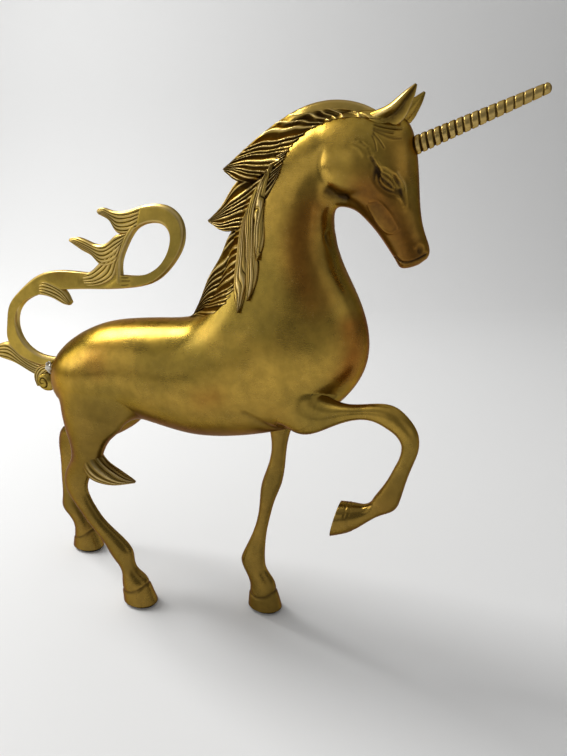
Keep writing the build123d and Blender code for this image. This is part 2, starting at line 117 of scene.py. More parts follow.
def station_knots(stations):
    """Running length of a limb: the mean of the lengths of its two outlines."""
    s = np.asarray(stations, float)
    return (run_length(s[:, 0:2]) + run_length(s[:, 2:4])) / 2


def sections(s):
    """Middle and half depth of a limb at rows of its table: half the sum and difference of two points."""
    middle = np.stack([(s[:, 0] + s[:, 2]) / 2, s[:, 5], (s[:, 1] + s[:, 3]) / 2], -1)
    depth = np.stack([(s[:, 0] - s[:, 2]) / 2, 0 * s[:, 0], (s[:, 1] - s[:, 3]) / 2], -1)
    return middle[:, None], depth[:, None]


def rings(stations, at, columns):
    """Ellipse carried along a limb: middle + cos v times half the depth, less sin v times half the width."""
    s = spline(stations, station_knots(stations), at)
    v = full_turn(columns)
    middle, depth = sections(s)
    grid = middle + depth * np.cos(v)[None, :, None]
    grid[..., 1] -= np.outer(s[:, 4], np.sin(v))
    return grid


def grid_normals(grid):
    """Unit normals of a wrapped grid: cross product of its differences along columns and rows."""
    across = (np.roll(grid, -1, 1) - np.roll(grid, 1, 1)) / 2
    return unit(np.cross(across, np.gradient(grid, axis=0)))


def quads(rows, columns, wrap, first=0):
    """Corner numbers of the quads of a grid whose vertices start at first."""
    r, c = np.arange(rows - 1)[:, None], np.arange(columns if wrap else columns - 1)[None, :]
    here, beside = first + r * columns + c, first + r * columns + (c + 1) % columns
    return np.stack([here, beside, beside + columns, here + columns], -1).reshape(-1, 4).tolist()


def fan(row, pole, wrap):
    """Triangles from a row of vertex numbers to a pole."""
    after = np.roll(row, -1) if wrap else row[1:]
    return np.stack([row[:len(after)], after, np.full(len(after), pole)], -1).tolist()


def skin(rows, columns, wrap, first=0):
    """Faces of a grid and of the fans to the two poles that follow its vertices."""
    n = rows * columns
    return (quads(rows, columns, wrap, first) + fan(first + np.arange(columns)[::-1], first + n, wrap)
            + fan(first + np.arange(n - columns, n), first + n + 1, wrap))


def tube_part(surface):
    """Closed part from a wrapped grid and its recess, with a pole in the middle of each end."""
    grid, dark = surface
    verts = np.vstack([grid.reshape(-1, 3), grid[0].mean(0), grid[-1].mean(0)])
    return verts, skin(*grid.shape[:2], True), dark.ravel()


def two_faces(x, z, right, left, dark, left_dark):
    """Wrapped grid of a plate from its right face and its left one, whose columns run back."""
    grids = np.stack([x, right, z], -1), np.stack([x, left, z], -1)[:, ::-1]
    return np.concatenate(grids, 1), np.concatenate([dark, left_dark[:, ::-1]], 1)


def between(rail_a, rail_b, rows, a):
    """Side view of a strip: points at the shares a from one edge curve at -1 to the other at 1, straight
    across. Gives X, Z, the share along it and half its width."""
    a_line, b_line = curve(rail_a, rows), curve(rail_b, rows)
    middle, half = (a_line + b_line) / 2, (b_line - a_line) / 2
    width = np.linalg.norm(half, axis=1)[:, None]
    x, z = (middle[:, i:i + 1] + a * half[:, i:i + 1] for i in (0, 1))
    return x, z, np.linspace(0, 1, rows)[:, None], width


def signed_volume(verts, faces):
    """Volume of a closed surface from its fanned corners: negative when it is inside out."""
    corner = np.array([f[:3] for f in faces] + [[f[0], f[2], f[3]] for f in faces if len(f) == 4])
    a, b, c = verts[corner[:, 0]], verts[corner[:, 1]], verts[corner[:, 2]]
    return float(np.einsum("ij,ij->i", a, np.cross(b, c)).sum() / 6)


def stand(name, data):
    """New object of the scene around a mesh, a lamp or a camera."""
    made = bpy.data.objects.new(name, data)
    bpy.context.scene.collection.objects.link(made)
    return made


def smooth_mesh(name, verts, faces, finish):
    """Smooth mesh in one finish."""
    mesh = bpy.data.meshes.new(name)
    mesh.from_pydata(verts.tolist(), [], faces)
    mesh.polygons.foreach_set("use_smooth", np.ones(len(mesh.polygons), bool))
    mesh.materials.append(finish)
    return mesh


def mark(mesh, label, values):
    """Number from -1 to 1 on each vertex, which the finish reads by its label."""
    values = np.clip(values, -1, 1).astype(np.float32)
    mesh.attributes.new(label, "FLOAT", "POINT").data.foreach_set("value", values)


def make_piece(name, parts, finish, nodes):
    """One object from (vertices, faces, recess) parts, faces outward. The recess is kept as a mark: above 0
    the metal lies in a hollow and is dark, below 0 it stands out and is rubbed bright."""
    verts, faces, recess = [], [], []
    for part_verts, part_faces, part_recess in parts:
        base = sum(len(v) for v in verts)
        turn = -1 if signed_volume(part_verts, part_faces) < 0 else 1
        faces += [[base + k for k in f[::turn]] for f in part_faces]
        verts.append(part_verts)
        recess.append(np.r_[part_recess, np.zeros(len(part_verts) - len(part_recess))])
    mesh = smooth_mesh(name, place(np.vstack(verts)), faces, finish)
    mark(mesh, "recess", np.concatenate(recess))
    mesh.update()
    piece = stand(name, mesh)
    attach(piece, "root")
    if nodes:
        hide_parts(*nodes)
    return piece


# Limb tables, here and below: a point of one outline, a point of the other, half the width, and the side.
# For torso, neck and head the outlines are the back, and the belly or front
TRUNK = [
    (-63.6, 148.4, -63.6, 142.2, 2.4, 0), (-61.5, 152, -61.5, 139, 6.5, 0),
    (-57.5, 160, -57.5, 131, 13.5, 0), (-50, 168, -50, 125, 19.5, 0), (-38, 176, -37, 120.5, 24, 0),
    (-21, 183, -20, 121.5, 26, 0), (-3, 186.5, -2, 125.4, 26.3, 0), (17, 188.6, 20, 123.8, 26.3, 0),
    (34, 190.6, 42, 121.6, 26, 0), (46, 195.5, 64, 124.2, 25.8, 0), (54, 203.5, 85, 129.4, 25.6, 0),
    (60, 214, 108, 138.4, 25, 0), (64.5, 225, 127, 154, 23.4, 0), (67.5, 235, 137.5, 171, 21.2, 0),
    (71, 246, 139, 189, 19, 0), (76.5, 258, 132.5, 208, 17, 0), (83.5, 268, 124.5, 223, 15.2, 0),
    (92.5, 277.5, 120, 237, 13.6, 0), (104, 285.5, 119, 246.5, 12.6, 0), (117, 290, 121.5, 250.5, 12.4, 0),
    (130, 291.5, 127, 250.3, 12.8, 0), (143, 290.5, 132, 248, 13, 0), (151.5, 287, 135.5, 245, 12.8, 0),
    (155.5, 279, 138.8, 241.8, 12.2, 0), (157.5, 269, 142, 238.2, 11.2, 0),
    (158.8, 258.5, 145, 234.4, 9.6, 0), (160.2, 248.5, 147.8, 230.6, 8.2, 0),
    (162.4, 240.5, 150.5, 226.8, 7.6, 0), (164.8, 234.5, 153.5, 223.9, 7.2, 0),
    (165.3, 230.6, 158, 224.4, 5.4, 0), (164.4, 228.4, 161, 225.7, 3, 0),
]
JOWL, JOWL_RADIUS = (129.0, 269.5), 12.4
EYE, EYE_COS, EYE_SIN = (146.8, 262.0), 0.76, 0.65
BROW = [
    (140.4, 271.6), (143, 268.4), (144.3, 266.4), (146.5, 265.5), (148.6, 263.9), (150, 261.9),
    (151.7, 259.5),
]
LOWER_LID = [
    (142.1, 264.8), (142, 262.8), (142.7, 260.8), (144.7, 258.7), (146.9, 257.4), (149.3, 256.7),
    (152.4, 255.2), (154, 252),
]
UPPER_LID = [(143.8, 265), (146.3, 263.4), (148.8, 261.3), (150.2, 259.4)]
INNER_LID = [(143.6, 263.2), (143.9, 262.2), (145.1, 260.6), (147.3, 259.2), (149.8, 258.4)]
SIDE_GROOVE = [(149.6, 263.8), (151.8, 259.8), (153.2, 256.2), (154.2, 252.5)]
TEAR_RIDGE = [(150.6, 265.6), (152.1, 263.1), (153.6, 261), (154.4, 256.7), (155.1, 250.7)]
UPPER_CREST = [(139, 253.3), (141.8, 254), (145.5, 251.9), (148.8, 248.3), (151, 244.8), (152.4, 242.2)]
LOWER_CREST = [(138.2, 252), (140.7, 247), (143.3, 243.3), (146.1, 240.8), (149.5, 240), (152.2, 241.6)]
NOSTRIL, NOSTRIL_RIM = (161.9, 232.5), [(159.9, 234.2), (161.2, 235.6), (163, 235), (163.7, 232.8)]
CHIN = (154.5, 225.4)
CRACK = [(132.6, 278.6), (135.5, 277.1), (137.9, 275.3), (138.8, 273), (140.2, 270.4)]
WRINKLES = (
    [(139.4, 285), (144.5, 283.8), (150.5, 283.2)], [(139.4, 283.4), (143, 282.3), (147.5, 281.6)],
    [(139.4, 282.6), (144.2, 280.6), (146.6, 279.6), (151, 279.4)],
    [(139.4, 281.4), (142.2, 278.6), (144.6, 275.4)], [(139.2, 280.2), (140.6, 277.4), (141.4, 274.4)],
)
# Plain lines of the face and throat: course in the side view, width, height and darkness
FACE_LINES = [(line, 0.42, -0.35, 0.6) for line in WRINKLES] + [
    # Hollow behind the jaw, and the jaw's lower edge
    ([(119.6, 257.6), (122.4, 255.4), (126.4, 254.2)], 2.2, -1.8, 0.9),
    ([(126, 255), (131, 252.6), (136, 248)], 1.6, -0.4, 0.25),
    # Slit of the eye, its rear corner, and the ridge before it
    ([(144.4, 263), (146.6, 261.6), (148.6, 259.6)], 0.35, -0.35, 0.6),
    ([(139.8, 271.6), (142, 267.6), (142.8, 265)], 1.2, -0.7, 0.6),
    (TEAR_RIDGE, 1.4, 0.4, 0.0),
    # Pocket between the cheek crests, mouth and lip
    ([(141.5, 251.5), (145, 247.2), (149.5, 242.6)], 2.6, -0.05, 0.15),
    ([(150.4, 228.9), (154.4, 227.2), (158.3, 227.5), (162, 229.3), (166, 231.6)], 0.5, -0.55, 0.6),
    ([(152, 229.6), (155, 228.6), (159, 229), (163, 231)], 0.9, 0.2, 0.0),
    # Swell below the crack, fold of the throat and its edge
    ([(131.6, 277), (134.6, 275.2), (136.8, 272.6)], 1.3, 0.2, 0.0),
    ([(121, 246), (120.4, 243.2), (118.6, 238.6), (119.9, 233.9), (122.6, 228.6)], 0.8, -0.8, 0.6),
    ([(122.6, 243), (120.8, 238.6), (122, 233.4)], 1.2, 0.5, 0.0),
    # Darkening on the side of the nose, without relief
    ([(138, 257), (147, 248), (155, 236), (159, 229)], 9.0, 0.0, 0.5),
]
# Copper painted over the brass: on the neck front and chest it is a painted reflection of warm light, on the
# face it darkens the side of the nose. Course, width and amount
PAINTED_COPPER = (
    ([(112, 252), (108, 238), (110, 222), (116, 208)], 8.0, 0.8),
    ([(133, 196), (134, 182), (131, 171)], 6.0, 1.0),
    ([(138, 258), (146, 250), (154, 238), (158, 230)], 9.0, 0.9), ([(56, 152), (66, 156)], 6.0, 0.6),
    ([(150, 276), (153, 266)], 6.0, 0.5),
)


def stroke(x, z, line, width):
    """Closeness to a line on the side view: a bell of the distance to the nearest part of its spline."""
    points = curve(line, STROKE_POINTS)
    near = np.full(x.shape, 1e9)
    for (ax, az), (bx, bz) in zip(points[:-1], points[1:]):
        ux, uz = bx - ax, bz - az
        t = np.clip(((x - ax) * ux + (z - az) * uz) / (ux * ux + uz * uz), 0, 1)
        near = np.minimum(near, (x - ax - t * ux) ** 2 + (z - az - t * uz) ** 2)
    return np.exp(-near / width ** 2)


def head_relief(x, z):
    """Height and darkness of the face over the side view: humps, thin ridges and grooves added up."""
    # Cheek: a dome with an edge behind and below, running out towards the muzzle and the poll
    ahead, up = x - JOWL[0], z - JOWL[1]
    d = np.hypot(ahead, up)
    edge = smoothstep(-0.15, 0.5, -(ahead * 0.6 + up * 0.8) / np.maximum(d, 1e-6))
    rolled = 1.1 * smoothstep(1.15, 0.66, d / JOWL_RADIUS) + 0.9 * np.clip(1 - (d / JOWL_RADIUS) ** 2, 0, 1)
    crease = bell(d - JOWL_RADIUS - 0.9, 1.0) * edge
    height = rolled * edge + 2.0 * bell(d, 13.0) * (1 - edge) - 0.12 * crease
    dark = 0.12 * crease
    for line, width, rise, film in FACE_LINES:
        near = stroke(x, z, line, width)
        height, dark = height + rise * near, dark + film * near
    # Eye: a dark socket between brow and lower lid, thin lids, and a small ball
    ahead, up = x - EYE[0], z - EYE[1]
    s, q = ahead * EYE_COS - up * EYE_SIN, ahead * EYE_SIN + up * EYE_COS
    socket = smoothstep(1.15, 0.7, np.hypot(s / 8.0, q / np.where(q > 0, 4.0, 4.6)))
    ball = np.sqrt(np.clip(1 - (s / 3.9) ** 2 - ((q + 0.4) / 1.75) ** 2, 0, 1))
    brow, low = stroke(x, z, BROW, 0.75), stroke(x, z, LOWER_LID, 0.6)
    lids = np.maximum(stroke(x, z, UPPER_LID, 0.5), stroke(x, z, INNER_LID, 0.45))
    bright = np.clip(0.85 * np.maximum.reduce([brow, low, lids]) + 0.25 * ball, 0, 1)
    groove = stroke(x, z, SIDE_GROOVE, 0.8)
    height = height - 1.2 * socket + 0.9 * ball + 0.6 * brow + 0.55 * low + 0.6 * lids - 0.5 * groove
    dark = dark + (0.7 * socket + 0.6 * groove) * (1 - bright)
    # Two cheek crests, nostril and chin
    upper, lower = stroke(x, z, UPPER_CREST, 0.55), stroke(x, z, LOWER_CREST, 0.55)
    flare = stroke(x, z, NOSTRIL_RIM, 0.9)
    hole = np.hypot((x - NOSTRIL[0]) / 1.4, (z - NOSTRIL[1]) / 2.1)
    chin = np.exp(-((x - CHIN[0]) ** 2 + (z - CHIN[1]) ** 2) / 7)
    height = height + 0.4 * (upper + lower + flare) - 0.5 * smoothstep(1.0, 0.2, hole) + 0.5 * chin
    dark = dark + 0.3 * smoothstep(0.95, 0.4, hole) * (1 - 0.7 * flare)
    # Chafed crack behind the eye
    chafe = 0.6 + 0.22 * np.sin(1.9 * x + 0.8 * z) + 0.18 * np.sin(3.7 * z - 0.9 * x + 1.0)
    crack = stroke(x, z, CRACK, 0.7) * chafe
    height, dark = height - 0.4 * crack, np.clip(dark + 0.4 * crack, 0, 1)
    polished = np.maximum.reduce([brow, low, 0.9 * lids, 0.6 * upper, 0.6 * lower, 0.8 * flare,
                                  0.5 * stroke(x, z, TEAR_RIDGE, 0.8)])
    return height, dark - 0.4 * polished * (1 - dark)


# In the tables of the legs, the side is counted outward from the hoof's line
RAISED_LEG = [
    (90, 174, 93, 142, 6, -9), (103, 167, 106.5, 137.8, 7.6, -5), (118, 161.5, 119.5, 141.8, 7.4, -1),
    (130, 159.2, 131.5, 148.8, 5.2, 0), (142, 160.2, 143, 152.8, 4.2, 0),
    (151, 161.8, 149.5, 152.2, 4.4, 0), (158.2, 161, 154.6, 150, 4.8, 0), (165, 155.8, 159, 147.2, 4.8, 0),
    (169.3, 149.5, 161.3, 144.3, 4.5, 0), (170.4, 142.5, 162.2, 141, 4, 0),
    (169.2, 136, 161.6, 135.8, 3.5, 0), (167, 128.5, 159.5, 130, 3.4, 0), (165, 120, 156.4, 122.5, 3.7, 0),
    (163.4, 112.5, 152.6, 115.5, 4.5, 0), (160.6, 106.4, 150, 111, 4.7, 0),
    (155.2, 102.8, 148.6, 108.4, 4.1, 0), (150.6, 99.4, 145.6, 106.2, 4.1, 0),
    (146.4, 95.6, 142.4, 105.6, 5.1, 0), (140.4, 90.4, 138.6, 105.4, 6.8, 0),
    (134.4, 87, 135.6, 105, 7.6, 0), (128.6, 84.6, 132.8, 104.6, 8, 0),
]


def side_cells(spot, turns):
    """Reach to the figure's right over the side view, in millimetre cells: the furthest point of each cell,
    with empty cells filled from their neighbours, then evened by the given number of turns."""
    cells = np.zeros(CELLS)
    at = [np.clip(np.rint(spot[..., axis] - corner).astype(int), 0, count - 1).ravel()
          for axis, corner, count in zip((0, 2), CELL_CORNER, CELLS)]
    np.maximum.at(cells, tuple(at), -spot[..., 1].ravel())
    for _ in range(2):
        around = np.stack([np.roll(cells, step, axis) for axis in (0, 1) for step in (-1, 1)])
        cells = np.where(cells > 0, cells, np.where((around > 0).sum(0) > 2, around.max(0), 0))
    for _ in range(turns):
        solid = (cells > 0).astype(float)
        blur, weight = (sum(np.roll(field, step, axis) for axis in (0, 1) for step in (-1, 0, 1))
                        for field in (cells, solid))
        cells = np.where(solid > 0, blur / np.maximum(weight, 1), 0)
    return cells


def read_cells(cells, x, z):
    """Cells read at points of the side view, in straight steps between them."""
    cx, cz = (np.clip(value - corner, 0, count - 1.001)
              for value, corner, count in zip((x, z), CELL_CORNER, CELLS))
    i, j = cx.astype(int), cz.astype(int)
    s, t = cx - i, cz - j
    return (cells[i, j] * (1 - s) * (1 - t) + cells[i + 1, j] * s * (1 - t)
            + cells[i, j + 1] * (1 - s) * t + cells[i + 1, j + 1] * s * t)


def lean_in(grid):
    """Root of the raised leg leaned into the chest: a shift to the left that grows to its upper edge."""
    middle = grid.mean(1)
    amount = 6.0 * smoothstep(138, 114, middle[:, 0]) * smoothstep(130, 142, middle[:, 2])
    leaned = grid.copy()
    leaned[..., 1] += amount[:, None] * (1 + np.cos(full_turn(grid.shape[1]))) / 2
    return leaned


def shoulder_roll(x, y, z):
    """How far the trunk swells to the right over the root of the raised leg: the smooth larger of the two
    reaches, less the trunk's own."""
    table = [(a, b, c, d, half + more, -(FORE_TRACK + shift))
             for (a, b, c, d, half, shift), more in zip(RAISED_LEG, (0.1, 0.1, 0.0, 0.0, 0.0))]
    leg = lean_in(rings(table, np.linspace(0, station_knots(table)[-1], 200), 240))[:, 1:120]
    cells = side_cells(leg, 2)
    for _ in range(2):
        cells = sum(np.roll(cells, (i, j), (0, 1)) for i in (-1, 0, 1) for j in (-1, 0, 1)) / 9
    reach = read_cells(cells, x, z)
    soft = 5.0
    near = np.clip(1 - np.abs(reach + y) / soft, 0, 1) * (reach > 1)
    return np.where(y < -2, np.maximum(reach + y, 0) + near ** 2 * soft / 4, 0) * smoothstep(130, 118, x)


def trunk_surface():
    """Trunk rings from rump to muzzle, moved along their normals by the relief of the side view, with the
    shoulder rolled over the raised leg. Also where the oxide lies, with painted shade along the elbow crease,
    and where copper is painted over the brass as reflection on the neck front and chest and as darkening on the
    face."""
    k = station_knots(TRUNK)
    at = np.unique(np.r_[np.linspace(k[0], k[3], 36), np.linspace(k[3], k[10], 84),
                         np.linspace(k[10], k[18], 100), np.linspace(k[18], k[30], 260)])
    grid = rings(TRUNK, at, 2 * HALF_COLUMNS)
    normals = grid_normals(grid)
    x, z = grid[..., 0], grid[..., 2]
    side_on = smoothstep(0.12, 0.45, np.abs(normals[..., 1]))
    height, dark = (part * smoothstep(112, 117, x) * smoothstep(221, 225, z) * side_on
                    for part in head_relief(x, z))
    # Crease where the raised shoulder rolls over the chest, hollow before the flank, and three slow swells
    right = smoothstep(2, -6, grid[..., 1])
    shoulder = stroke(x, z, [(91, 172), (89, 160), (88, 148), (91, 136)], 5.5) * (0.5 + 0.1 * right)
    ribs = stroke(x, z, [(70, 172), (66, 158), (64, 144)], 11)
    flank = stroke(x, z, [(8, 160), (2, 146), (-2, 134)], 9)
    thigh = np.exp(-((x + 26) / 22) ** 2 - ((z - 150) / 18) ** 2)
    chest = np.exp(-((x - 112) / 15) ** 2 - ((z - 176) / 17) ** 2)
    height = height + (0.5 * ribs - 1.2 * shoulder - 0.7 * flank + 0.6 * thigh + 0.6 * chest) * side_on
    grid = grid + normals * height[..., None]
    roll = shoulder_roll(grid[..., 0], grid[..., 1], grid[..., 2])
    grid[..., 1] -= roll * smoothstep(0.12, 0.5, np.abs(normals[..., 1]))
    elbow = stroke(x, z, [(80, 147), (86, 142), (92, 136.5), (97, 133)], 1.6) * side_on * right
    grid = grid - normals * (0.7 * elbow)[..., None]
    # Copper painted over the trunk: painted reflection on the neck front and chest, darkening on the face
    painted_copper = np.maximum.reduce([amount * stroke(x, z, line, width) for line, width, amount in PAINTED_COPPER])
    # 0.3 of the elbow crease is added to the darkness: painted shade along the crease
    return grid, grid_normals(grid), dark + 0.3 * elbow, painted_copper


TRUNK_GRID, TRUNK_NORMALS, TRUNK_DARK, TRUNK_PAINTED_COPPER = trunk_surface()
SIDE_MAP = side_cells(TRUNK_GRID[:, 1:HALF_COLUMNS], 1)


def trunk_distance(points, step):
    """Signed height of points over the trunk, with the normal there: measured at the nearest trunk vertex."""
    sample, normal = (field[::step, ::step].reshape(-1, 3) for field in (TRUNK_GRID, TRUNK_NORMALS))
    flat = points.reshape(-1, 3)
    size = (sample ** 2).sum(1)
    block = 400
    nearest = np.concatenate([np.argmin(size[None] - 2 * flat[start:start + block] @ sample.T, axis=1)
                              for start in range(0, len(flat), block)])
    n = normal[nearest]
    height = ((flat - sample[nearest]) * n).sum(1)
    return height.reshape(points.shape[:-1]), n.reshape(points.shape)


def body_half(columns):
    """One casting: outer skin, inner skin set in by the wall, and the seam between them in the mid-plane.
    Gives vertices, faces, recess, the outer skin's normals and the painted copper."""
    grid, normals = TRUNK_GRID[:, columns], TRUNK_NORMALS[:, columns].copy()
    rows, width = grid.shape[:2]
    coarse = np.linspace(0, width - 1, INNER_COLUMNS).astype(int)
    size = np.linalg.norm(TRUNK_GRID[:, 0] - TRUNK_GRID[:, HALF_COLUMNS], axis=1) / 2
    thin = np.minimum(WALL, 0.4 * np.minimum(size, np.abs(grid[..., 1]).max(1)))
    inner = grid[:, coarse] - normals[:, coarse] * thin[:, None, None]
    inner[:, [0, -1], 1] = 0
    outer_ends = (grid[[0, -1], 0] + grid[[0, -1], -1]) / 2
    inner_ends = inner[[0, -1]].mean(1)
    inner_ends[:, 1] = 0
    verts = [grid.reshape(-1, 3), outer_ends, inner.reshape(-1, 3), inner_ends]
    n_outer = rows * width
    faces = skin(rows, width, False) + [f[::-1] for f in skin(rows, INNER_COLUMNS, False, n_outer + 2)]
    seam = n_outer + 2 + rows * INNER_COLUMNS + 2
    m = rows + 2
    for column, turn in ((0, 1), (-1, -1)):
        for ends, line in ((outer_ends, grid[:, column]), (inner_ends, inner[:, column])):
            verts += [ends[:1], line, ends[1:]]
        faces += [[a, a + m, a + m + 1, a + 1][::turn] for a in range(seam, seam + m - 1)]
        seam += 2 * m
    verts = np.vstack(verts)
    recess, painted_copper, exact = np.zeros(len(verts)), np.zeros(len(verts)), np.zeros((len(verts), 3))
    normals[:, [0, -1], 1] = 0
    recess[:n_outer], painted_copper[:n_outer] = TRUNK_DARK[:, columns].ravel(), TRUNK_PAINTED_COPPER[:, columns].ravel()
    exact[:n_outer] = unit(normals).reshape(-1, 3)
    return verts, faces, recess, exact, painted_copper


def column_sample(grid, index):
    """Grid read at fractional row numbers, one list of rows for each column, in straight steps."""
    low = np.clip(np.floor(index).astype(int), 0, len(grid) - 2)
    t = (index - low)[..., None]
    c = np.arange(grid.shape[1])[None, :]
    return grid[low, c] * (1 - t) + grid[low + 1, c] * t


def ease_columns(values, turns):
    """Values round a ring, evened by repeated averages with their neighbours."""
    for _ in range(turns):
        values = (np.roll(values, 1, 0) + 2 * values + np.roll(values, -1, 0)) / 4
    return values


def outward(grid):
    """Normals of a limb's grid, turned away from the middle of each ring."""
    n = grid_normals(grid)
    away = grid - grid.mean(1, keepdims=True)
    return n * np.sign((n * away).sum(-1, keepdims=True).mean())


def hoof_relief(to_end, length, raised):
    """Height and darkness of a hoof by the length left to its sole: an engraved coronet line that dips
    towards the heel, with a step out to the wall below it. On the raised hoof the line is faint, and a short
    one crosses the upper side near the sole."""
    v, to_end = full_turn(LIMB_COLUMNS)[None], to_end[:, None]
    wave = length + 0.7 * np.cos(2 * v) + 0.3 * np.sin(3 * v)
    line = bell(to_end - wave, 0.65)
    height = -0.5 * line + 0.35 * smoothstep(wave + 0.2, wave - 1.2, to_end)
    if not raised:
        return height, 0.75 * line
    notch = bell(to_end - 6.5, 0.5) * smoothstep(0.2, 0.7, -np.cos(v))
    return 0.25 * height - 0.25 * notch, 0.15 * line + 0.6 * notch


def sole(grid, dark, hollow):
    """Hoof closed below: the last ring drawn in to its middle in three steps, hollowed by the given depth."""
    last = grid[-1]
    middle = last.mean(0)
    normal = unit(np.cross(last[0] - middle, last[len(last) // 4] - middle))
    normal = normal * np.sign(((grid[-12].mean(0) - middle) * normal).sum())
    steps = [middle + (last - middle) * share + normal * deep
             for share, deep in ((0.93, 0.0), (0.8, hollow), (0.3, hollow))]
    return np.vstack([grid, steps]), np.vstack([dark, np.zeros((3, dark.shape[1]))])


def limb_surface(stations, raised, fillet, front, right):
    """Leg rings from the body to the hoof. Its root is flared into the trunk: on each column a parabola runs
    from the leg, by way of the point where it meets the trunk, to a point on the trunk's skin. The flare is
    the fillet, more by the front and right amounts on those sides. The raised leg has none: it leans in."""
    knots = station_knots(stations)
    length = knots[-1]
    at = np.linspace(0, length, int(length / LIMB_SPACING))
    grid = rings(stations, at, LIMB_COLUMNS)
    grid = lean_in(grid) if raised else grid
    normals = outward(grid)
    height, dark = hoof_relief(length - at, length - knots[-3], raised)
    grid = grid + normals * height[..., None]
    if raised:
        return sole(grid, dark, 0.6)
    rows = len(grid)
    upper_share, lowest_leave, skin_depth = 0.55, 0.8, 0.12
    upper = grid[:int(rows * upper_share)]
    height, _ = trunk_distance(upper, 3)
    within = height < 0
    last = np.where(within.any(0), len(upper) - 1 - np.argmax(within[::-1], axis=0), 1)
    last = np.clip(last, 1, len(upper) - 2)
    c = np.arange(LIMB_COLUMNS)
    inside, outside = height[last, c], height[last + 1, c]
    cross = ease_columns(last + np.clip(inside / np.minimum(inside - outside, -1e-6), 0, 1), 12)
    v = full_turn(LIMB_COLUMNS)
    radius = fillet + front * np.clip(-np.cos(v), 0, 1) ** 2 + right * np.clip(np.sin(v), 0, 1) ** 2
    start = np.minimum(cross + radius / LIMB_SPACING, rows * lowest_leave)
    meet, down, leave = (column_sample(grid, row[None])[0] for row in (cross, cross + 1, start))
    away = column_sample(normals, cross[None])[0] - unit(down - meet)
    _, n_trunk = trunk_distance(meet, 1)
    flare = unit(away - (away * n_trunk).sum(-1, keepdims=True) * n_trunk)
    land = meet + flare * radius[:, None]
    for _ in range(3):
        h, n_land = trunk_distance(land, 1)
        land = land - n_land * h[:, None]
    land = ease_columns(land, 14)
    h, n_land = trunk_distance(land, 1)
    land = land - n_land * (h + skin_depth)[:, None]
    w = np.linspace(1, 0, FILLET_ROWS)[:, None, None]
    bend = (1 - w) ** 2 * leave + 2 * w * (1 - w) * meet + w ** 2 * land
    sunk = land - n_land * 1.6 + flare * 0.8
    index = start[None] + (rows - 1 - start[None]) * np.linspace(0, 1, rows)[1:, None]
    marks = column_sample(dark[..., None], index)[..., 0]
    grid = np.vstack([sunk[None], bend, column_sample(grid, index)])
    return sole(grid, np.vstack([np.zeros((FILLET_ROWS + 1, LIMB_COLUMNS)), marks]), 0.0)


def ribbon_surface(rails, half, rows, ridges=0, columns=16, depth=0.0, bevel=1.5, fade=0.02, sunk=0.0,
                   dips=(), cuts=()):
    """Plate between two edge curves: thinned to its edges over the bevel, with wide strands between narrow
    grooves, by the 0.6 power of |sin| of half a turn per strand. Its first end is sunk, dips lower the faces
    below pieces laid over them, cuts engrave short lines. Both faces alike."""
    a = np.linspace(-1, 1, max(columns, 10 * ridges))
    a = np.unique(np.r_[a, -0.985, 0.985, -0.96, 0.96])[None, :]
    x, z, u, width = between(*rails, rows, a)
    gap = (1 - np.abs(a)) * width
    face = half * (0.45 + 0.55 * np.sin(np.pi / 2 * np.clip(gap / bevel, 0, 1)))
    dark = -0.6 * bell(gap - 0.4 * bevel, 0.45 * bevel)
    if ridges:
        waver = 0.1 * np.sin(7 * u + 5 * a) * (1 - a ** 2)
        r = np.abs(np.sin(np.pi * (ridges * (a + 1) / 2 + waver))) ** 0.6
        keep = smoothstep(0.05, 0.6, width / ridges * 2) * smoothstep(0.1, 0.7, gap)
        keep = keep * smoothstep(0, fade, u + 1e-6)
        face = face - depth * (1 - r) * keep
        dark = dark * (1 - keep) + (0.85 * smoothstep(0.7, 0.3, r) - 0.5 * smoothstep(0.8, 1.0, r)) * keep
    face = face - sunk * (1 - smoothstep(0, 0.25, u))
    for line, spread, sink in dips:
        face = face - sink * smoothstep(0.1, 0.6, stroke(x, z, line, spread))
    for line in cuts:
        cut = stroke(x, z, line, 0.4)
        face, dark = face - 0.4 * cut, dark + 0.7 * cut
    return two_faces(x, z, -face, face, dark, dark)


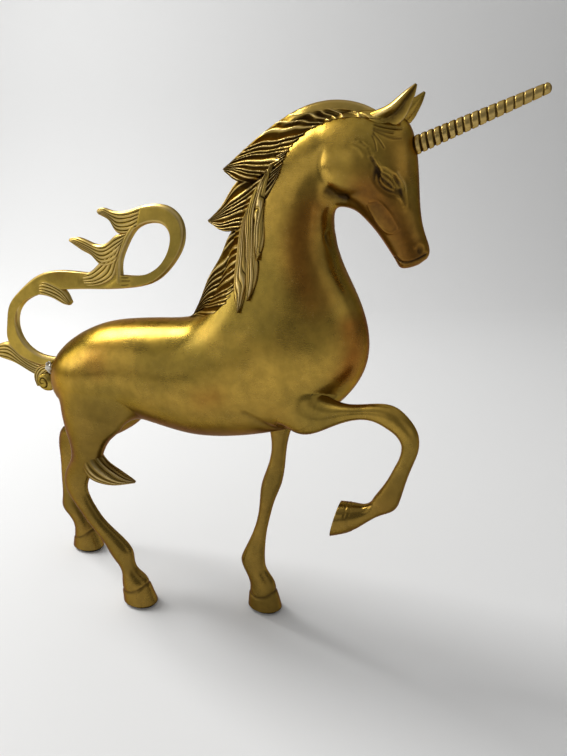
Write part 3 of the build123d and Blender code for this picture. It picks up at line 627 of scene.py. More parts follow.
def clump_surface(rails, edge_half, root_half, strands, reach, lean, rim_band=0.0, rows=110, columns=100):
    """Clump of the mane between its free edge and its line on the neck. Half thickness: from the thin edge
    to the thick root, or the neck's own half thickness and a lift where that is more. Strand lines leave the
    neck's line and meet the edge further on, by the lean. They are thin and raised between wide scooped
    furrows: 1 less the 0.7 power of |sin| of half a turn per strand. A rim band is smooth near the poll."""
    a = np.unique(np.r_[np.linspace(-1, 1, columns), -0.995, 0.995, -0.975])[None, :]
    x, z, u, width = between(*rails, rows, a)
    from_edge = (1 + a) * width
    body = edge_half + (root_half - edge_half) * ((a + 1) / 2) ** 0.75 * smoothstep(0, 9, width)
    neck = read_cells(SIDE_MAP, x, z)
    face = np.maximum(body, np.where(neck > 0, neck + MANE_LIFT, 0))
    rim = np.sqrt(np.clip(1 - (1 - np.clip(from_edge / 1.6, 0, 1)) ** 2, 0, 1))
    face = face * (0.3 + 0.7 * rim) - 2.6 * (1 - smoothstep(0, 1.2, (1 - a) * width))
    shift = lean[0] + (lean[1] - lean[0]) * u
    waver = 0.3 * np.sin(9 * u + 3 * a) + 0.1 * np.sin(17 * u - 5 * a)
    phase = strands * (reach * (a + 1) / 2 + u - shift * (1 - a) / 2) + waver
    phase = phase + 0.26 * np.sin(1.3 * phase) + 0.13 * np.sin(2.9 * phase + 1)
    strand = np.rint(phase)
    uneven = 0.8 + 0.2 * np.sin(2.4 * strand + 0.7 * np.sin(1.7 * strand))
    r = 1 - np.abs(np.sin(np.pi * phase)) ** 0.7
    keep, fresh = smoothstep(0.0, 2.2, width), 1.0
    if rim_band:
        bare = smoothstep(rim_band + 1.2, rim_band - 0.6, from_edge) * smoothstep(0.62, 0.4, u)
        keep, face = keep * (1 - bare), face + 0.5 * bare
        fresh = 0.45 + 0.55 * smoothstep(0.12, 0.42, u)
    face = np.maximum(face - MANE_DEPTH * (1 - r * uneven) * keep, 0.25)
    dark = (0.8 * smoothstep(0.6, 0.2, r) * fresh - 0.95 * smoothstep(0.5, 0.8, r) * uneven) * keep
    dark = dark - 0.6 * bell(from_edge - 0.5, 0.6)
    return two_faces(x, z, -face, face, dark, dark)


def lock_surface(front_rail, rear_rail, height, strands, start):
    """Lock lying on the right of the neck: a rounded strip whose skin stands over the neck by a height that
    falls to both edges, with strand lines that sway along it."""
    a = np.linspace(-1, 1, 12 * strands)[None, :]
    x, z, u, width = between(rear_rail, front_rail, LOCK_ROWS, a)
    neck = read_cells(SIDE_MAP, x, z)
    neck = (neck + np.roll(neck, 1, 0) + np.roll(neck, -1, 0)) / 3
    sway = 0.7 * np.sin(8.5 * u + 1.8 * a + start) + 0.2 * np.sin(21 * u + 3 * a)
    phase = strands * (a + 1) / 2 + sway
    r = np.abs(np.sin(np.pi * phase)) ** 0.6 * (0.85 + 0.15 * np.sin(2.1 * np.floor(phase) + start))
    keep = smoothstep(0.0, 1.6, width)
    swell = np.sqrt(np.clip(1 - a ** 2, 0, 1))
    over = neck - 0.8 + (height + 0.8) * swell - LOCK_DEPTH * (1 - r) * keep * swell
    dark = (0.8 * smoothstep(0.5, 0.12, r) - 0.7 * smoothstep(0.7, 0.95, r)) * keep
    dark = dark + 0.7 * smoothstep(0.9, 1.0, np.abs(a))
    return two_faces(x, z, -over, 2.2 - neck, dark, 0 * dark)


def horn_surface():
    """Cone along the horn's axis with one rounded ridge wound round it, closed by a dome at the tip."""
    tip, sunk = 1.6, 5
    straight = np.linspace(-sunk, HORN_LENGTH - tip, 430)
    s = np.r_[straight, straight[-1] + tip * np.sin(np.linspace(0.08, 1.5, 10))]
    s, v = s[:, None], full_turn(36)[None]
    share = np.clip(s / HORN_LENGTH, 0, 1)
    radius = HORN_BASE_RADIUS + (HORN_TIP_RADIUS - HORN_BASE_RADIUS) * share
    dome = np.sqrt(np.clip(1 - np.clip((s - HORN_LENGTH + 1.7) / 1.7, 0, 1) ** 2, 0.01, 1))
    phase = HORN_TURNS * (1.16 * share - 0.16 * share ** 2) - v / (2 * np.pi)
    gap = (0.62 - 0.34 * share) * (1 + 0.18 * np.sin(5.3 * phase))
    r = smoothstep(0.35 * gap, 1.35 * gap, np.abs(np.sin(np.pi * phase)))
    radial = (radius - (0.55 - 0.25 * share) * (1 - r)) * dome
    c, d = math.cos(HORN_SLOPE), math.sin(HORN_SLOPE)
    up = radial * np.cos(v)
    grid = np.stack([HORN_ROOT[0] + s * c - up * d, radial * np.sin(v), HORN_ROOT[1] + s * d + up * c], -1)
    return grid, (0.95 - 0.3 * share) * smoothstep(0.85, 0.25, r) - 0.3 * smoothstep(0.85, 1.0, r)


# In the table of the ear, the last value is how far it leans in from its side
EAR = [
    (131, 287.5, 139, 280, 2.6, 7.4), (136.4, 290.4, 144.6, 282.6, 3.6, 5.4),
    (141, 291.5, 150, 285.6, 4.4, 3.6), (145.2, 293, 152.9, 288.8, 4.3, 2.3),
    (148.8, 295.3, 154.6, 292.4, 3.7, 1.3), (152.8, 298, 156, 296.1, 2.6, 0.5),
    (155.9, 299.9, 156.7, 299.3, 0.6, 0),
]
EAR_SIDE = 11.0
# Angles of the cup: its middle round the ear, and from there its edge, the edge of its floor, and its rim
CUP_MIDDLE, CUP_EDGE, CUP_FLOOR, CUP_RIM = np.radians([122, 58, 12, 62])


def ear_surface(sign):
    """Leaf-shaped ear: an ellipse carried from the poll to the tip, drawn in to its middle over the sector
    that faces outward and forward, which leaves a cup between two rims."""
    table = [(a, b, c, d, t, sign * (EAR_SIDE - inset)) for a, b, c, d, t, inset in EAR]
    k, rows = station_knots(table), 90
    s = spline(table, k, np.linspace(0, k[-1], rows))
    v = full_turn(96)
    turn = np.cos(v - CUP_MIDDLE)
    cup = smoothstep(np.cos(CUP_EDGE), np.cos(CUP_FLOOR), turn)
    deep = smoothstep(0.12, 0.45, np.linspace(0, 1, rows))[:, None]
    pull = 1 - 0.8 * cup * deep
    middle, reach = sections(s)
    grid = middle + reach * (np.cos(v) * pull)[..., None]
    grid[..., 1] += sign * s[:, 4:5] * np.sin(v) * pull
    rim = bell(turn - np.cos(CUP_RIM), 0.16)
    return grid, (0.8 * cup - 0.6 * rim) * deep


RIGHT_HIND_LEG = [
    (-46, 152, 0, 146, 9, -3), (-47.5, 138, 1, 130.5, 9.8, -1.4), (-46.5, 127, -6, 120.5, 9.8, -0.8),
    (-44, 116, -14.5, 112.5, 9, -0.4), (-42, 107, -19.5, 104.5, 7.8, 0), (-43.5, 98, -22.5, 98, 6.6, 0),
    (-47.5, 91, -27.5, 92, 5.6, 0), (-51.5, 82, -32.5, 84.5, 5, 0), (-51, 74.5, -35.3, 77, 4.6, 0),
    (-46.8, 66.5, -34.2, 70.5, 4.2, 0), (-40.6, 57.8, -31, 64.3, 3.9, 0),
    (-34.2, 49.8, -25.2, 56.4, 3.8, 0), (-27.4, 42.6, -17.6, 50, 4, 0), (-22.4, 35.4, -9.4, 43.6, 4.7, 0),
    (-18.2, 29.4, -4.4, 36.4, 5, 0), (-14.2, 24.6, -3.8, 28.6, 4.5, 0), (-13, 20.6, -2, 24, 4.7, 0),
    (-13.2, 15.2, 3.6, 19.4, 6, 0), (-13, 8.6, 6, 15.2, 7, 0), (-12.7, 4.7, 8.1, 8.6, 7.8, 0),
    (-12.6, PAD, 10.6, PAD, 8.4, 0),
]
LEFT_HIND_LEG = [
    (-46, 152, 2, 146, 9, -3), (-49, 137.5, -4, 131, 10, -1.4), (-52.5, 127, -13.5, 116, 10, -0.8),
    (-59, 118, -28, 104.5, 9, -0.4), (-67, 110, -45, 95, 7.6, 0), (-77, 102, -60, 88, 6.4, 0),
    (-85.5, 95, -70.5, 83, 5.4, 0), (-88.3, 86, -75, 79, 4.8, 0), (-88.8, 76, -77.2, 73.5, 4.3, 0),
    (-89.6, 65, -79.4, 64.5, 4, 0), (-90.8, 52, -80.8, 52, 3.8, 0), (-92.2, 40, -80, 42, 4.2, 0),
    (-92.8, 32, -78, 36, 5.1, 0), (-88, 25.6, -74.8, 31, 5.1, 0), (-83.4, 16, -69, 22, 6, 0),
    (-84.4, 8.6, -67, 16.4, 7, 0), (-85.2, 5.3, -64.4, 9.2, 7.8, 0), (-86, PAD, -61.8, PAD, 8.4, 0),
]
STANDING_LEG = [
    (76, 156, 97, 154, 6, 1.5), (77.5, 136, 96, 136, 6.6, 4.6), (80.4, 123, 92, 123, 5.2, 4.6),
    (81.2, 112, 90.2, 112, 4.4, 4), (78.4, 99.5, 89.2, 99.5, 4.6, 3.4), (75, 88.5, 87, 88.5, 4.8, 2.8),
    (74, 78.5, 83.4, 78.5, 4.2, 2.2), (73, 68.5, 80.6, 67.5, 3.5, 1.7), (70.7, 58.5, 78.5, 57, 3.4, 1.2),
    (67.2, 49, 77.4, 47, 3.8, 0.8), (62.6, 38.5, 77, 37, 4.8, 0.5), (61.2, 32.5, 77.6, 30.5, 5.2, 0.3),
    (64.4, 25, 80.4, 25, 5.4, 0), (67.4, 16, 84, 19, 6.2, 0), (67, 10.6, 85, 14, 7, 0),
    (66.6, 6.3, 86.6, 8, 7.7, 0), (66.2, PAD, 88.2, PAD, 8.2, 0),
]
TUFT = [
    (-22.6, 113, -38, 102, 3.8, -18), (-21.6, 108, -36.4, 96, 5.6, -18),
    (-21.4, 103.6, -33, 89.8, 6.7, -18), (-18.4, 99.4, -28.6, 85.6, 6.8, -18),
    (-12, 95.8, -20.4, 83.8, 6, -18), (-5, 93, -11.4, 84.4, 4.6, -18), (0.2, 91, -3.6, 86.5, 2.9, -18),
    (3.4, 89.8, 2.8, 88.3, 0.9, -18),
]


def tuft_surface():
    """Hair tuft: rings that bend from the thigh's front to a point, with strands between narrow grooves that
    sway round it."""
    rows, columns, strands = 130, 180, 13
    grid = rings(TUFT, np.linspace(0, station_knots(TUFT)[-1], rows), columns)
    v, u = full_turn(columns)[None], np.linspace(0, 1, rows)[:, None]
    phase = strands * v / (2 * np.pi) + 0.45 * np.sin(5 * u) + 0.2 * np.sin(3 * v)
    r = np.abs(np.sin(np.pi * phase)) ** 0.6
    deep = 1.1 * (1 - 0.65 * u) * smoothstep(0.1, 0.4, u)
    dark = (0.7 * smoothstep(0.65, 0.2, r) - 0.6 * smoothstep(0.8, 1.0, r)) * smoothstep(0.15, 0.45, u)
    return grid - outward(grid) * (deep * (1 - r))[..., None], dark


# Tail, from the side: the two edges of each strip
TAIL_HALF = 2.3
TAIL_INNER = [
    (-57, 157), (-70, 156.4), (-82, 159.6), (-90.2, 167.4), (-92.2, 177), (-88.4, 186.6), (-79, 193.4),
    (-65, 197.6), (-50, 200.6), (-25, 202.6), (0, 205), (15, 208.9), (29, 220.2), (36.4, 234), (34.8, 244),
    (28, 249.8), (17, 251.1), (11, 250.3),
]
TAIL_OUTER = [
    (-57, 150), (-72, 149), (-87, 151.5), (-97, 156.5), (-102, 164), (-101, 173), (-97, 186.6),
    (-85, 198.4), (-69, 208.4), (-49, 212.4), (-31, 212), (-9.4, 212), (6, 212), (18.6, 217.4), (26.4, 228),
    (27.4, 235.4), (24.4, 240), (17, 241.2), (11, 240), (7, 238.2),
]
LEAF_ONE = (
    [(14, 250.8), (10, 249.9), (4, 248.2), (-5, 247), (-11.6, 247.9), (-16, 248.8), (-18.8, 248)],
    [
        (11, 240.2), (7, 238), (3, 235.8), (-2, 234.8), (-7.4, 236), (-10.8, 241.2), (-14.8, 243.8),
        (-18.4, 245.2),
    ],
)
LEAF_TWO = (
    [
        (4, 237.2), (-3, 235.4), (-8, 234), (-14.6, 229.6), (-23, 228.6), (-31, 231.1), (-37.6, 232.1),
        (-41, 231.3),
    ],
    [
        (-4, 229.6), (-6.4, 224), (-9, 219), (-14, 216.6), (-20.4, 216.8), (-26, 221.8), (-32, 224.5),
        (-36.8, 227), (-40.4, 229),
    ],
)
STRUT = (
    [(-37, 203.4), (-26, 204), (-17, 206.4), (-11, 210.4), (-8.4, 216), (-6, 222), (-2.4, 229)],
    [(-38, 210.8), (-33, 211.4), (-28, 213), (-23.6, 216.2), (-20, 219), (-15, 223), (-10, 228)],
)
STRUT_EDGE = (
    [(-10.4, 207), (-10, 211.4), (-9, 219), (-5.6, 227), (-0.6, 235.4), (3, 239.6)],
    [(-6.2, 207), (-6.4, 211.4), (-5.8, 219), (-2, 227), (3.4, 234.8), (7.4, 238.8)],
)
LEAF_THREE = (
    [(-74, 196), (-66, 196.2), (-57, 194), (-52, 192), (-47.6, 191.3)],
    [(-71, 203.4), (-64, 205.4), (-56.5, 203.8), (-49.6, 200.4), (-46.2, 194)],
)
LEFT_LEAF = (
    [(-79, 141.6), (-84, 143), (-93, 146.6), (-103, 149.8), (-112, 151.4), (-119.6, 154.4)],
    [(-77, 150), (-86, 152.4), (-95, 157.8), (-101.6, 162.4), (-111, 160.6), (-120.4, 156.6)],
)
STRAP = (
    [(-57, 147.4), (-63, 148), (-68.4, 146.8), (-72, 144.4), (-75.4, 140), (-76, 136.2)],
    [(-57, 154.6), (-64, 153), (-71, 151.4), (-78.6, 148.6), (-82.4, 142.8), (-81.2, 135.4)],
)
SHORT_LINES = (
    [(-5.4, 210.6), (-3, 210.6), (-0.9, 210.8)], [(-5.6, 208.7), (-3, 208.8), (-0.2, 209.1)],
    [(-6, 206.3), (-3.4, 206.4), (-1.3, 206.8)],
)
TAIL_DIPS = (
    ([(-31, 207), (-24, 207.6), (-16, 210.5), (-11, 214)], 4.6, 0.6),
    ([(-65, 200.4), (-57, 198.6), (-51, 195)], 4.0, 0.6),
)
SOLDER, SOLDER_RADII = (-66.4, -4.6, 150.4), (2.4, 2.0, 3.6)
SCROLL, SCROLL_RADIUS, SCROLL_HALF, SCROLL_PITCH = (-73.6, 139.6), 7.2, 5.4, 2.9


def solder_surface():
    """Lump of solder at the root of the tail: a flattened ball with slow swells."""
    u = np.linspace(0.04, np.pi - 0.04, 40)[:, None]
    v = full_turn(60)[None]
    swell = 1 + 0.14 * np.sin(3 * v + 2 * u) + 0.1 * np.sin(5 * u - 2 * v)
    ball = np.stack([np.sin(u) * np.cos(v), np.sin(u) * np.sin(v), np.cos(u) + 0 * v], -1)
    return SOLDER + ball * SOLDER_RADII * swell[..., None], 0 * swell


def scroll_surface():
    """Scroll at the tail's root: a bun turned about Y, with a groove wound in a spiral over its two faces."""
    t = np.linspace(0.02, np.pi - 0.02, 110)[:, None]
    v = full_turn(110)[None]
    radius = SCROLL_RADIUS * np.sin(t) ** 0.8
    wound = np.where(t < np.pi / 2, 1.0, -1.0) * v / (2 * np.pi) + radius / SCROLL_PITCH
    groove = bell((wound + 0.35) % 1.0 - 0.5, 0.13)
    groove = groove * smoothstep(0.4, 1.3, radius) * smoothstep(6.0, 5.0, radius)
    radius = radius * (1 - 0.03 * groove)
    height = SCROLL_HALF * np.cos(t) * (1 - 0.2 * groove)
    grid = np.stack([SCROLL[0] + radius * np.cos(v), -height, SCROLL[1] + radius * np.sin(v)], -1)
    return grid, 0.9 * groove


# Mane, from the side: the free edge of each clump and its line on the neck
MANE_TOP = (
    [(141, 290), (134, 293.6), (128, 295.6), (112, 296.5), (95, 291.2), (78, 281), (61, 268.4)],
    [
        (142, 286), (133, 287.4), (122, 287.6), (113, 285.4), (104, 280), (97, 272), (88, 265.6), (76, 262),
        (67, 263.6), (61.2, 267.2),
    ],
)
MANE_MIDDLE = (
    [(99, 277), (84, 271), (74, 266.4), (67, 261), (60, 251.6), (51, 243.4)],
    [(95, 263), (88, 250), (80, 243), (70, 239), (60, 238.6), (51.2, 242.4)],
)
MANE_LOW = (
    [(86, 254), (74, 245), (65, 238.6), (58, 226), (50.5, 214.6), (44.5, 202), (39.4, 192.6)],
    [(89, 240), (83, 226), (76, 213), (70, 204), (61, 197), (50, 194), (39.2, 191.4)],
)
# Strips of the lock: front edge, rear edge, height, strands and start of the sway
LOCK_PARTS = (
    (
        [(92.5, 269.5), (89.6, 258), (89.2, 246), (90.2, 238), (89.6, 231.6), (87.6, 226.4)],
        [(90, 269.5), (84.8, 258), (82.4, 246), (83, 238), (84.8, 231.6), (87.2, 226.2)], 2.4, 3, 0.0,
    ),
    (
        [(90.5, 266), (85.6, 255), (84.8, 243), (87.2, 231), (88, 221), (86.4, 213), (83.4, 206.8)],
        [(88, 266), (80.2, 255), (77.6, 243), (79.4, 231), (80.6, 220), (81.6, 212.6), (83, 206.6)], 2.9, 5,
        1.3,
    ),
    (
        [(85.5, 258.5), (79.8, 246), (80, 233), (82, 221), (81.6, 211.6), (80.4, 205.4), (78.4, 200.6)],
        [(84.5, 258.5), (76, 246), (73.2, 232), (73, 219), (73.8, 209.6), (75.6, 204.6), (78, 200.4)], 2.4,
        5, 2.6,
    ),
)


def feed(tree, node, values):
    """Inputs of a node joined to output sockets or set to plain values."""
    for key, value in values.items():
        if isinstance(value, bpy.types.NodeSocket):
            tree.links.new(value, node.inputs[key])
        else:
            node.inputs[key].default_value = value


def put(tree, kind, values=(), **settings):
    """New shader node with its settings and inputs."""
    made = tree.nodes.new(kind)
    for key, value in settings.items():
        setattr(made, key, value)
    feed(tree, made, dict(values))
    return made


def shared_group(name, inputs, outputs):
    """Empty shader node group with named sockets: colours, vectors and numbers in, colour and numbers out."""
    tree = bpy.data.node_groups.new(name, "ShaderNodeTree")
    for label, value in inputs.items():
        kind = {4: "NodeSocketColor", 3: "NodeSocketVector", 1: "NodeSocketFloat"}[np.size(value)]
        tree.interface.new_socket(label, in_out="INPUT", socket_type=kind).default_value = value
    for label in outputs:
        kind = "NodeSocketColor" if label == "Colour" else "NodeSocketFloat"
        tree.interface.new_socket(label, in_out="OUTPUT", socket_type=kind)
    return tree, put(tree, "NodeGroupInput").outputs, put(tree, "NodeGroupOutput")


def mix_colour(tree, factor, first, second, blend="MIX"):
    """Colour mix of two colours by a factor."""
    made = put(tree, "ShaderNodeMix", data_type="RGBA", blend_type=blend)
    feed(tree, made, {0: factor, 6: first, 7: second})
    return made.outputs[2]


def object_spot(tree):
    """Coordinates on the object itself."""
    return put(tree, "ShaderNodeTexCoord").outputs["Object"]


def noise(tree, vector, scale, detail, roughness):
    """Noise texture on the given coordinates."""
    values = {"Vector": vector, "Scale": scale, "Detail": detail, "Roughness": roughness}
    return put(tree, "ShaderNodeTexNoise", values).outputs["Fac"]


def ramp(tree, value, low, high, bottom=0.0, top=1.0):
    """Smooth step of a value from low to high, mapped to a range."""
    values = {"Value": value, "From Min": low, "From Max": high, "To Min": bottom, "To Max": top}
    return put(tree, "ShaderNodeMapRange", values, interpolation_type="SMOOTHSTEP").outputs["Result"]


def maths(tree, operation, first, second=0.0):
    """Math node on two operands."""
    return put(tree, "ShaderNodeMath", {0: first, 1: second}, operation=operation).outputs[0]


def times(tree, first, second):
    """Product of two numbers."""
    return maths(tree, "MULTIPLY", first, second)


def plus(tree, first, second):
    """Sum of two numbers."""
    return maths(tree, "ADD", first, second)


def bumps(tree, strength, distance, height):
    """Normal of a fine relief."""
    values = {"Strength": strength, "Distance": distance, "Height": height}
    return put(tree, "ShaderNodeBump", values).outputs["Normal"]


def tone_group():
    """Aged brass tone: warm, olive and copper patches by noise, and copper painted where a piece is marked:
    painted reflection on the neck front and chest, darkening on the face.
    """
    tree, into, out = shared_group("aged brass tone", {
        "Warm": (0.7, 0.42, 0.12, 1), "Olive": (0.42, 0.3, 0.09, 1), "Copper": (0.6, 0.25, 0.08, 1),
        "Patch Scale": 28.0}, ["Colour"])
    spot = object_spot(tree)
    broad = noise(tree, spot, into["Patch Scale"], 3.0, 0.5)
    patches = noise(tree, spot, 17.0, 2.0, 0.5)
    # The marked copper: painted reflection on the neck front and chest, darkening on the face
    marked = put(tree, "ShaderNodeAttribute", attribute_name="painted_copper").outputs["Fac"]
    painted_copper = times(tree, marked, ramp(tree, broad, 0.25, 0.6, 0.35))
    colour = mix_colour(tree, ramp(tree, broad, 0.36, 0.66), into["Warm"], into["Olive"])
    colour = mix_colour(tree, ramp(tree, patches, 0.56, 0.76, 0.0, 0.55), colour, into["Copper"])
    colour = mix_colour(tree, painted_copper, colour, into["Copper"])
    shade = ramp(tree, noise(tree, spot, 190.0, 5.0, 0.6), 0.3, 0.7, 0.84, 1.08)
    grey = put(tree, "ShaderNodeCombineColor", {0: shade, 1: shade, 2: shade}).outputs[0]
    feed(tree, out, {"Colour": mix_colour(tree, 1.0, colour, grey, "MULTIPLY")})
    return tree


def speckle_group():
    """Casting speckle: small dark pits and bright flecks where cells and a broad noise agree, and a grain."""
    tree, into, out = shared_group("casting speckle", {"Pit Scale": 1150.0, "Amount": 1.0},
                                   ["Mask", "Flecks", "Height"])
    spot = object_spot(tree)
    cells = put(tree, "ShaderNodeTexVoronoi", {"Vector": spot, "Scale": into["Pit Scale"]}).outputs
    where = noise(tree, spot, 70.0, 4.0, 0.6)
    chosen = times(tree, ramp(tree, cells["Distance"], 0.24, 0.06), ramp(tree, where, 0.46, 0.66))
    dots = times(tree, chosen, into["Amount"])
    lot = put(tree, "ShaderNodeSeparateColor", {0: cells["Color"]}).outputs[0]
    flecks = times(tree, dots, ramp(tree, lot, 0.3, 0.38))
    mask = maths(tree, "SUBTRACT", dots, flecks)
    rough = times(tree, noise(tree, spot, 1700.0, 2.0, 0.6), ramp(tree, where, 0.35, 0.65, 0.3))
    height = maths(tree, "SUBTRACT", times(tree, rough, into["Amount"]), mask)
    feed(tree, out, {"Mask": mask, "Flecks": flecks, "Height": height})
    return tree


def scratch_group():
    """Polishing lines: noise stretched along one way, mask of its thin crossings."""
    tree, into, out = shared_group("polishing lines", {"Stretch": (60.0, 400.0, 900.0), "Amount": 1.0},
                                   ["Mask"])
    values = {0: object_spot(tree), 1: into["Stretch"]}
    scaled = put(tree, "ShaderNodeVectorMath", values, operation="MULTIPLY").outputs[0]
    near = maths(tree, "ABSOLUTE", maths(tree, "SUBTRACT", noise(tree, scaled, 1.0, 3.0, 0.6), 0.5))
    feed(tree, out, {"Mask": times(tree, ramp(tree, near, 0.035, 0.0), into["Amount"])})
    return tree


def oxide_group():
    """Oxide in the recesses and rubbed metal on the ridges: the piece's recess mark, broken up by noise. On the
    trunk the mark also holds painted shade along the elbow crease and a darkening of the side of the nose.
    """
    tree, into, out = shared_group("recess oxide", {
        "Colour": (0.6, 0.4, 0.1, 1), "Oxide": (0.046, 0.023, 0.005, 1), "Rubbed": (0.72, 0.54, 0.24, 1),
        "Strength": 1.0, "Polish": 0.25}, ["Colour", "Roughness", "Mask"])
    marked = put(tree, "ShaderNodeAttribute", attribute_name="recess").outputs["Fac"]
    spot = object_spot(tree)
    uneven = ramp(tree, noise(tree, spot, 240.0, 4.0, 0.6), 0.25, 0.75, 0.75, 1.2)
    hollow = maths(tree, "MAXIMUM", marked, 0.0)
    proud = maths(tree, "MAXIMUM", times(tree, marked, -1.0), 0.0)
    mask = maths(tree, "MINIMUM", times(tree, times(tree, hollow, uneven), into["Strength"]), 1.0)
    rubbed = mix_colour(tree, times(tree, proud, uneven), into["Colour"], into["Rubbed"])
    wear = ramp(tree, noise(tree, spot, 45.0, 4.0, 0.6), 0.3, 0.7, -0.05, 0.08)
    rough = plus(tree, plus(tree, into["Polish"], wear), times(tree, mask, 0.3))
    colour = mix_colour(tree, mask, rubbed, into["Oxide"])
    feed(tree, out, {"Colour": colour, "Roughness": rough, "Mask": mask})
    return tree


TONE, SPECKLE, LINES, OXIDE = tone_group(), speckle_group(), scratch_group(), oxide_group()


def new_finish(name):
    """New material, its node tree and its shader."""
    finish = bpy.data.materials.new(name)
    finish.use_nodes = True
    return finish, finish.node_tree, finish.node_tree.nodes["Principled BSDF"]


def brass(name, warm, olive, copper, polish, speckle, lines, oxide=1.0, bump=0.12, patch=28.0, low_painted_shade=0.0,
          coat=0.15):
    """Brass finish of one family of pieces: tone, speckle, polishing lines and oxide into one metal shader,
    with a brown edge tint, and painted shade on the lower parts: their colour goes darker brown towards the
    floor, standing in for the dim surroundings they reflect."""
    finish, tree, shader = new_finish(name)
    tone, pits, fine, film = (put(tree, "ShaderNodeGroup", node_tree=group)
                              for group in (TONE, SPECKLE, LINES, OXIDE))
    feed(tree, tone, {"Warm": warm, "Olive": olive, "Copper": copper, "Patch Scale": patch})
    feed(tree, pits, {"Amount": speckle})
    feed(tree, fine, {"Amount": lines})
    spot = object_spot(tree)
    height = put(tree, "ShaderNodeSeparateXYZ", {"Vector": spot}).outputs["Z"]
    # Painted shade: from 185 mm above the floor down to 115 mm the colour is mixed more and more towards dark
    # brown
    low = ramp(tree, height, 0.185, 0.115, 0.0, low_painted_shade)
    pitted_and_low_shaded = mix_colour(tree, pits.outputs["Mask"], tone.outputs["Colour"], (0.13, 0.08, 0.02, 1))
    pitted_and_low_shaded = mix_colour(tree, pits.outputs["Flecks"], pitted_and_low_shaded, (0.72, 0.55, 0.22, 1))
    # The painted shade of the lower parts is mixed in here
    pitted_and_low_shaded = mix_colour(tree, low, pitted_and_low_shaded, (0.12, 0.066, 0.012, 1))
    feed(tree, film, {"Strength": oxide, "Polish": polish, "Colour": pitted_and_low_shaded})
    rough = plus(tree, film.outputs["Roughness"], times(tree, fine.outputs["Mask"], 0.14))
    rough = plus(tree, rough, times(tree, pits.outputs["Mask"], 0.25))
    waves = times(tree, noise(tree, spot, 130.0, 3.0, 0.5), 0.5)
    level = plus(tree, waves, times(tree, pits.outputs["Height"], 0.35))
    level = maths(tree, "SUBTRACT", level, times(tree, fine.outputs["Mask"], 0.05))
    feed(tree, shader, {
        "Base Color": film.outputs["Colour"], "Metallic": 1.0, "Roughness": rough, "IOR": 1.5,
        "Specular Tint": (0.42, 0.27, 0.1, 1), "Coat Weight": coat, "Coat Roughness": 0.24,
        "Normal": bumps(tree, bump, 0.001, level)})
    return finish


def plain_finish(name, first, second, scale, roughness, metallic=0.0, depth=0.3):
    """Finish of the solder, the hidden pins and the felt pads: two tones and a fine bump from noise."""
    finish, tree, shader = new_finish(name)
    grain = noise(tree, object_spot(tree), scale, 5.0, 0.6)
    feed(tree, shader, {
        "Base Color": mix_colour(tree, ramp(tree, grain, 0.35, 0.65), first, second), "Metallic": metallic,
        "Roughness": ramp(tree, grain, 0.3, 0.7, roughness - 0.08, roughness + 0.08),
        "Normal": bumps(tree, depth, 0.0005, grain)})
    return finish


# The body's lower parts take the painted shade at 0.6
BODY_BRASS = brass("body brass", (0.47, 0.295, 0.048, 1), (0.29, 0.195, 0.03, 1), (0.33, 0.13, 0.016, 1),
                   0.27, 0.6, 0.3, low_painted_shade=0.6)
HAIR_BRASS = brass("hair brass", (0.5, 0.34, 0.09, 1), (0.36, 0.25, 0.06, 1), (0.42, 0.2, 0.045, 1),
                   0.3, 0.3, 0.3, 1.45, 0.1, 40.0, coat=0.0)
HORN_BRASS = brass("horn brass", (0.48, 0.32, 0.08, 1), (0.37, 0.25, 0.06, 1), (0.38, 0.18, 0.045, 1),
                   0.28, 0.25, 0.2, 1.2, coat=0.05)
TAIL_BRASS = brass("tail brass", (0.44, 0.3, 0.055, 1), (0.32, 0.226, 0.042, 1), (0.38, 0.18, 0.035, 1),
                   0.32, 0.6, 0.35, 1.1, 0.12, 34.0, coat=0.08)
SOLDER_TIN = plain_finish("solder tin", (0.6, 0.57, 0.5, 1), (0.42, 0.38, 0.3, 1), 420.0, 0.34, 1.0)
PIN_STEEL = plain_finish("pin steel", (0.5, 0.51, 0.52, 1), (0.4, 0.4, 0.41, 1), 400.0, 0.4, 1.0)
PAD_FELT = plain_finish("pad felt", (0.02, 0.02, 0.021, 1), (0.035, 0.034, 0.033, 1), 2500.0, 0.9, 0.0, 0.6)

# Legs: name of the piece, table, distance from the mid-plane to the hoof, side, node, and flare of the root
LEGS = (("right_hind_limb", RIGHT_HIND_LEG, HIND_TRACK, -1, "right_hind_leg", (8.0, 5.0, 4.0)),
        ("left_hind_limb", LEFT_HIND_LEG, HIND_TRACK, 1, "left_hind_leg", (8.0, 5.0, 0.0)),
        ("standing_foreleg", STANDING_LEG, FORE_STANCE, 1, "left_foreleg", (4.0, 0.0, 0.0)),
        ("raised_foreleg", RAISED_LEG, FORE_TRACK, -1, "right_foreleg", (0.0, 0.0, 0.0)))
# Strips laid on the tail's ribbon: edges, how far they stand over it, rows and relief
TAIL_STRIPS = ((LEAF_ONE, 0.1, 90, dict(ridges=6, depth=0.8, fade=0.2, sunk=0.5)),
               (LEAF_TWO, 0.3, 90, dict(ridges=6, depth=0.8, fade=0.15, sunk=0.3)),
               (STRUT, 0.02, 84, dict(ridges=5, depth=0.75, fade=0.16, sunk=0.8)),
               (STRUT_EDGE, 0.2, 60, dict(bevel=1.6)),
               (LEAF_THREE, 0.05, 74, dict(ridges=5, depth=0.75, fade=0.16, sunk=0.8)),
               (LEFT_LEAF, 0.25, 84, dict(ridges=5, depth=0.9)),
               (STRAP, 1.6, 70, dict(ridges=4, depth=0.8)))


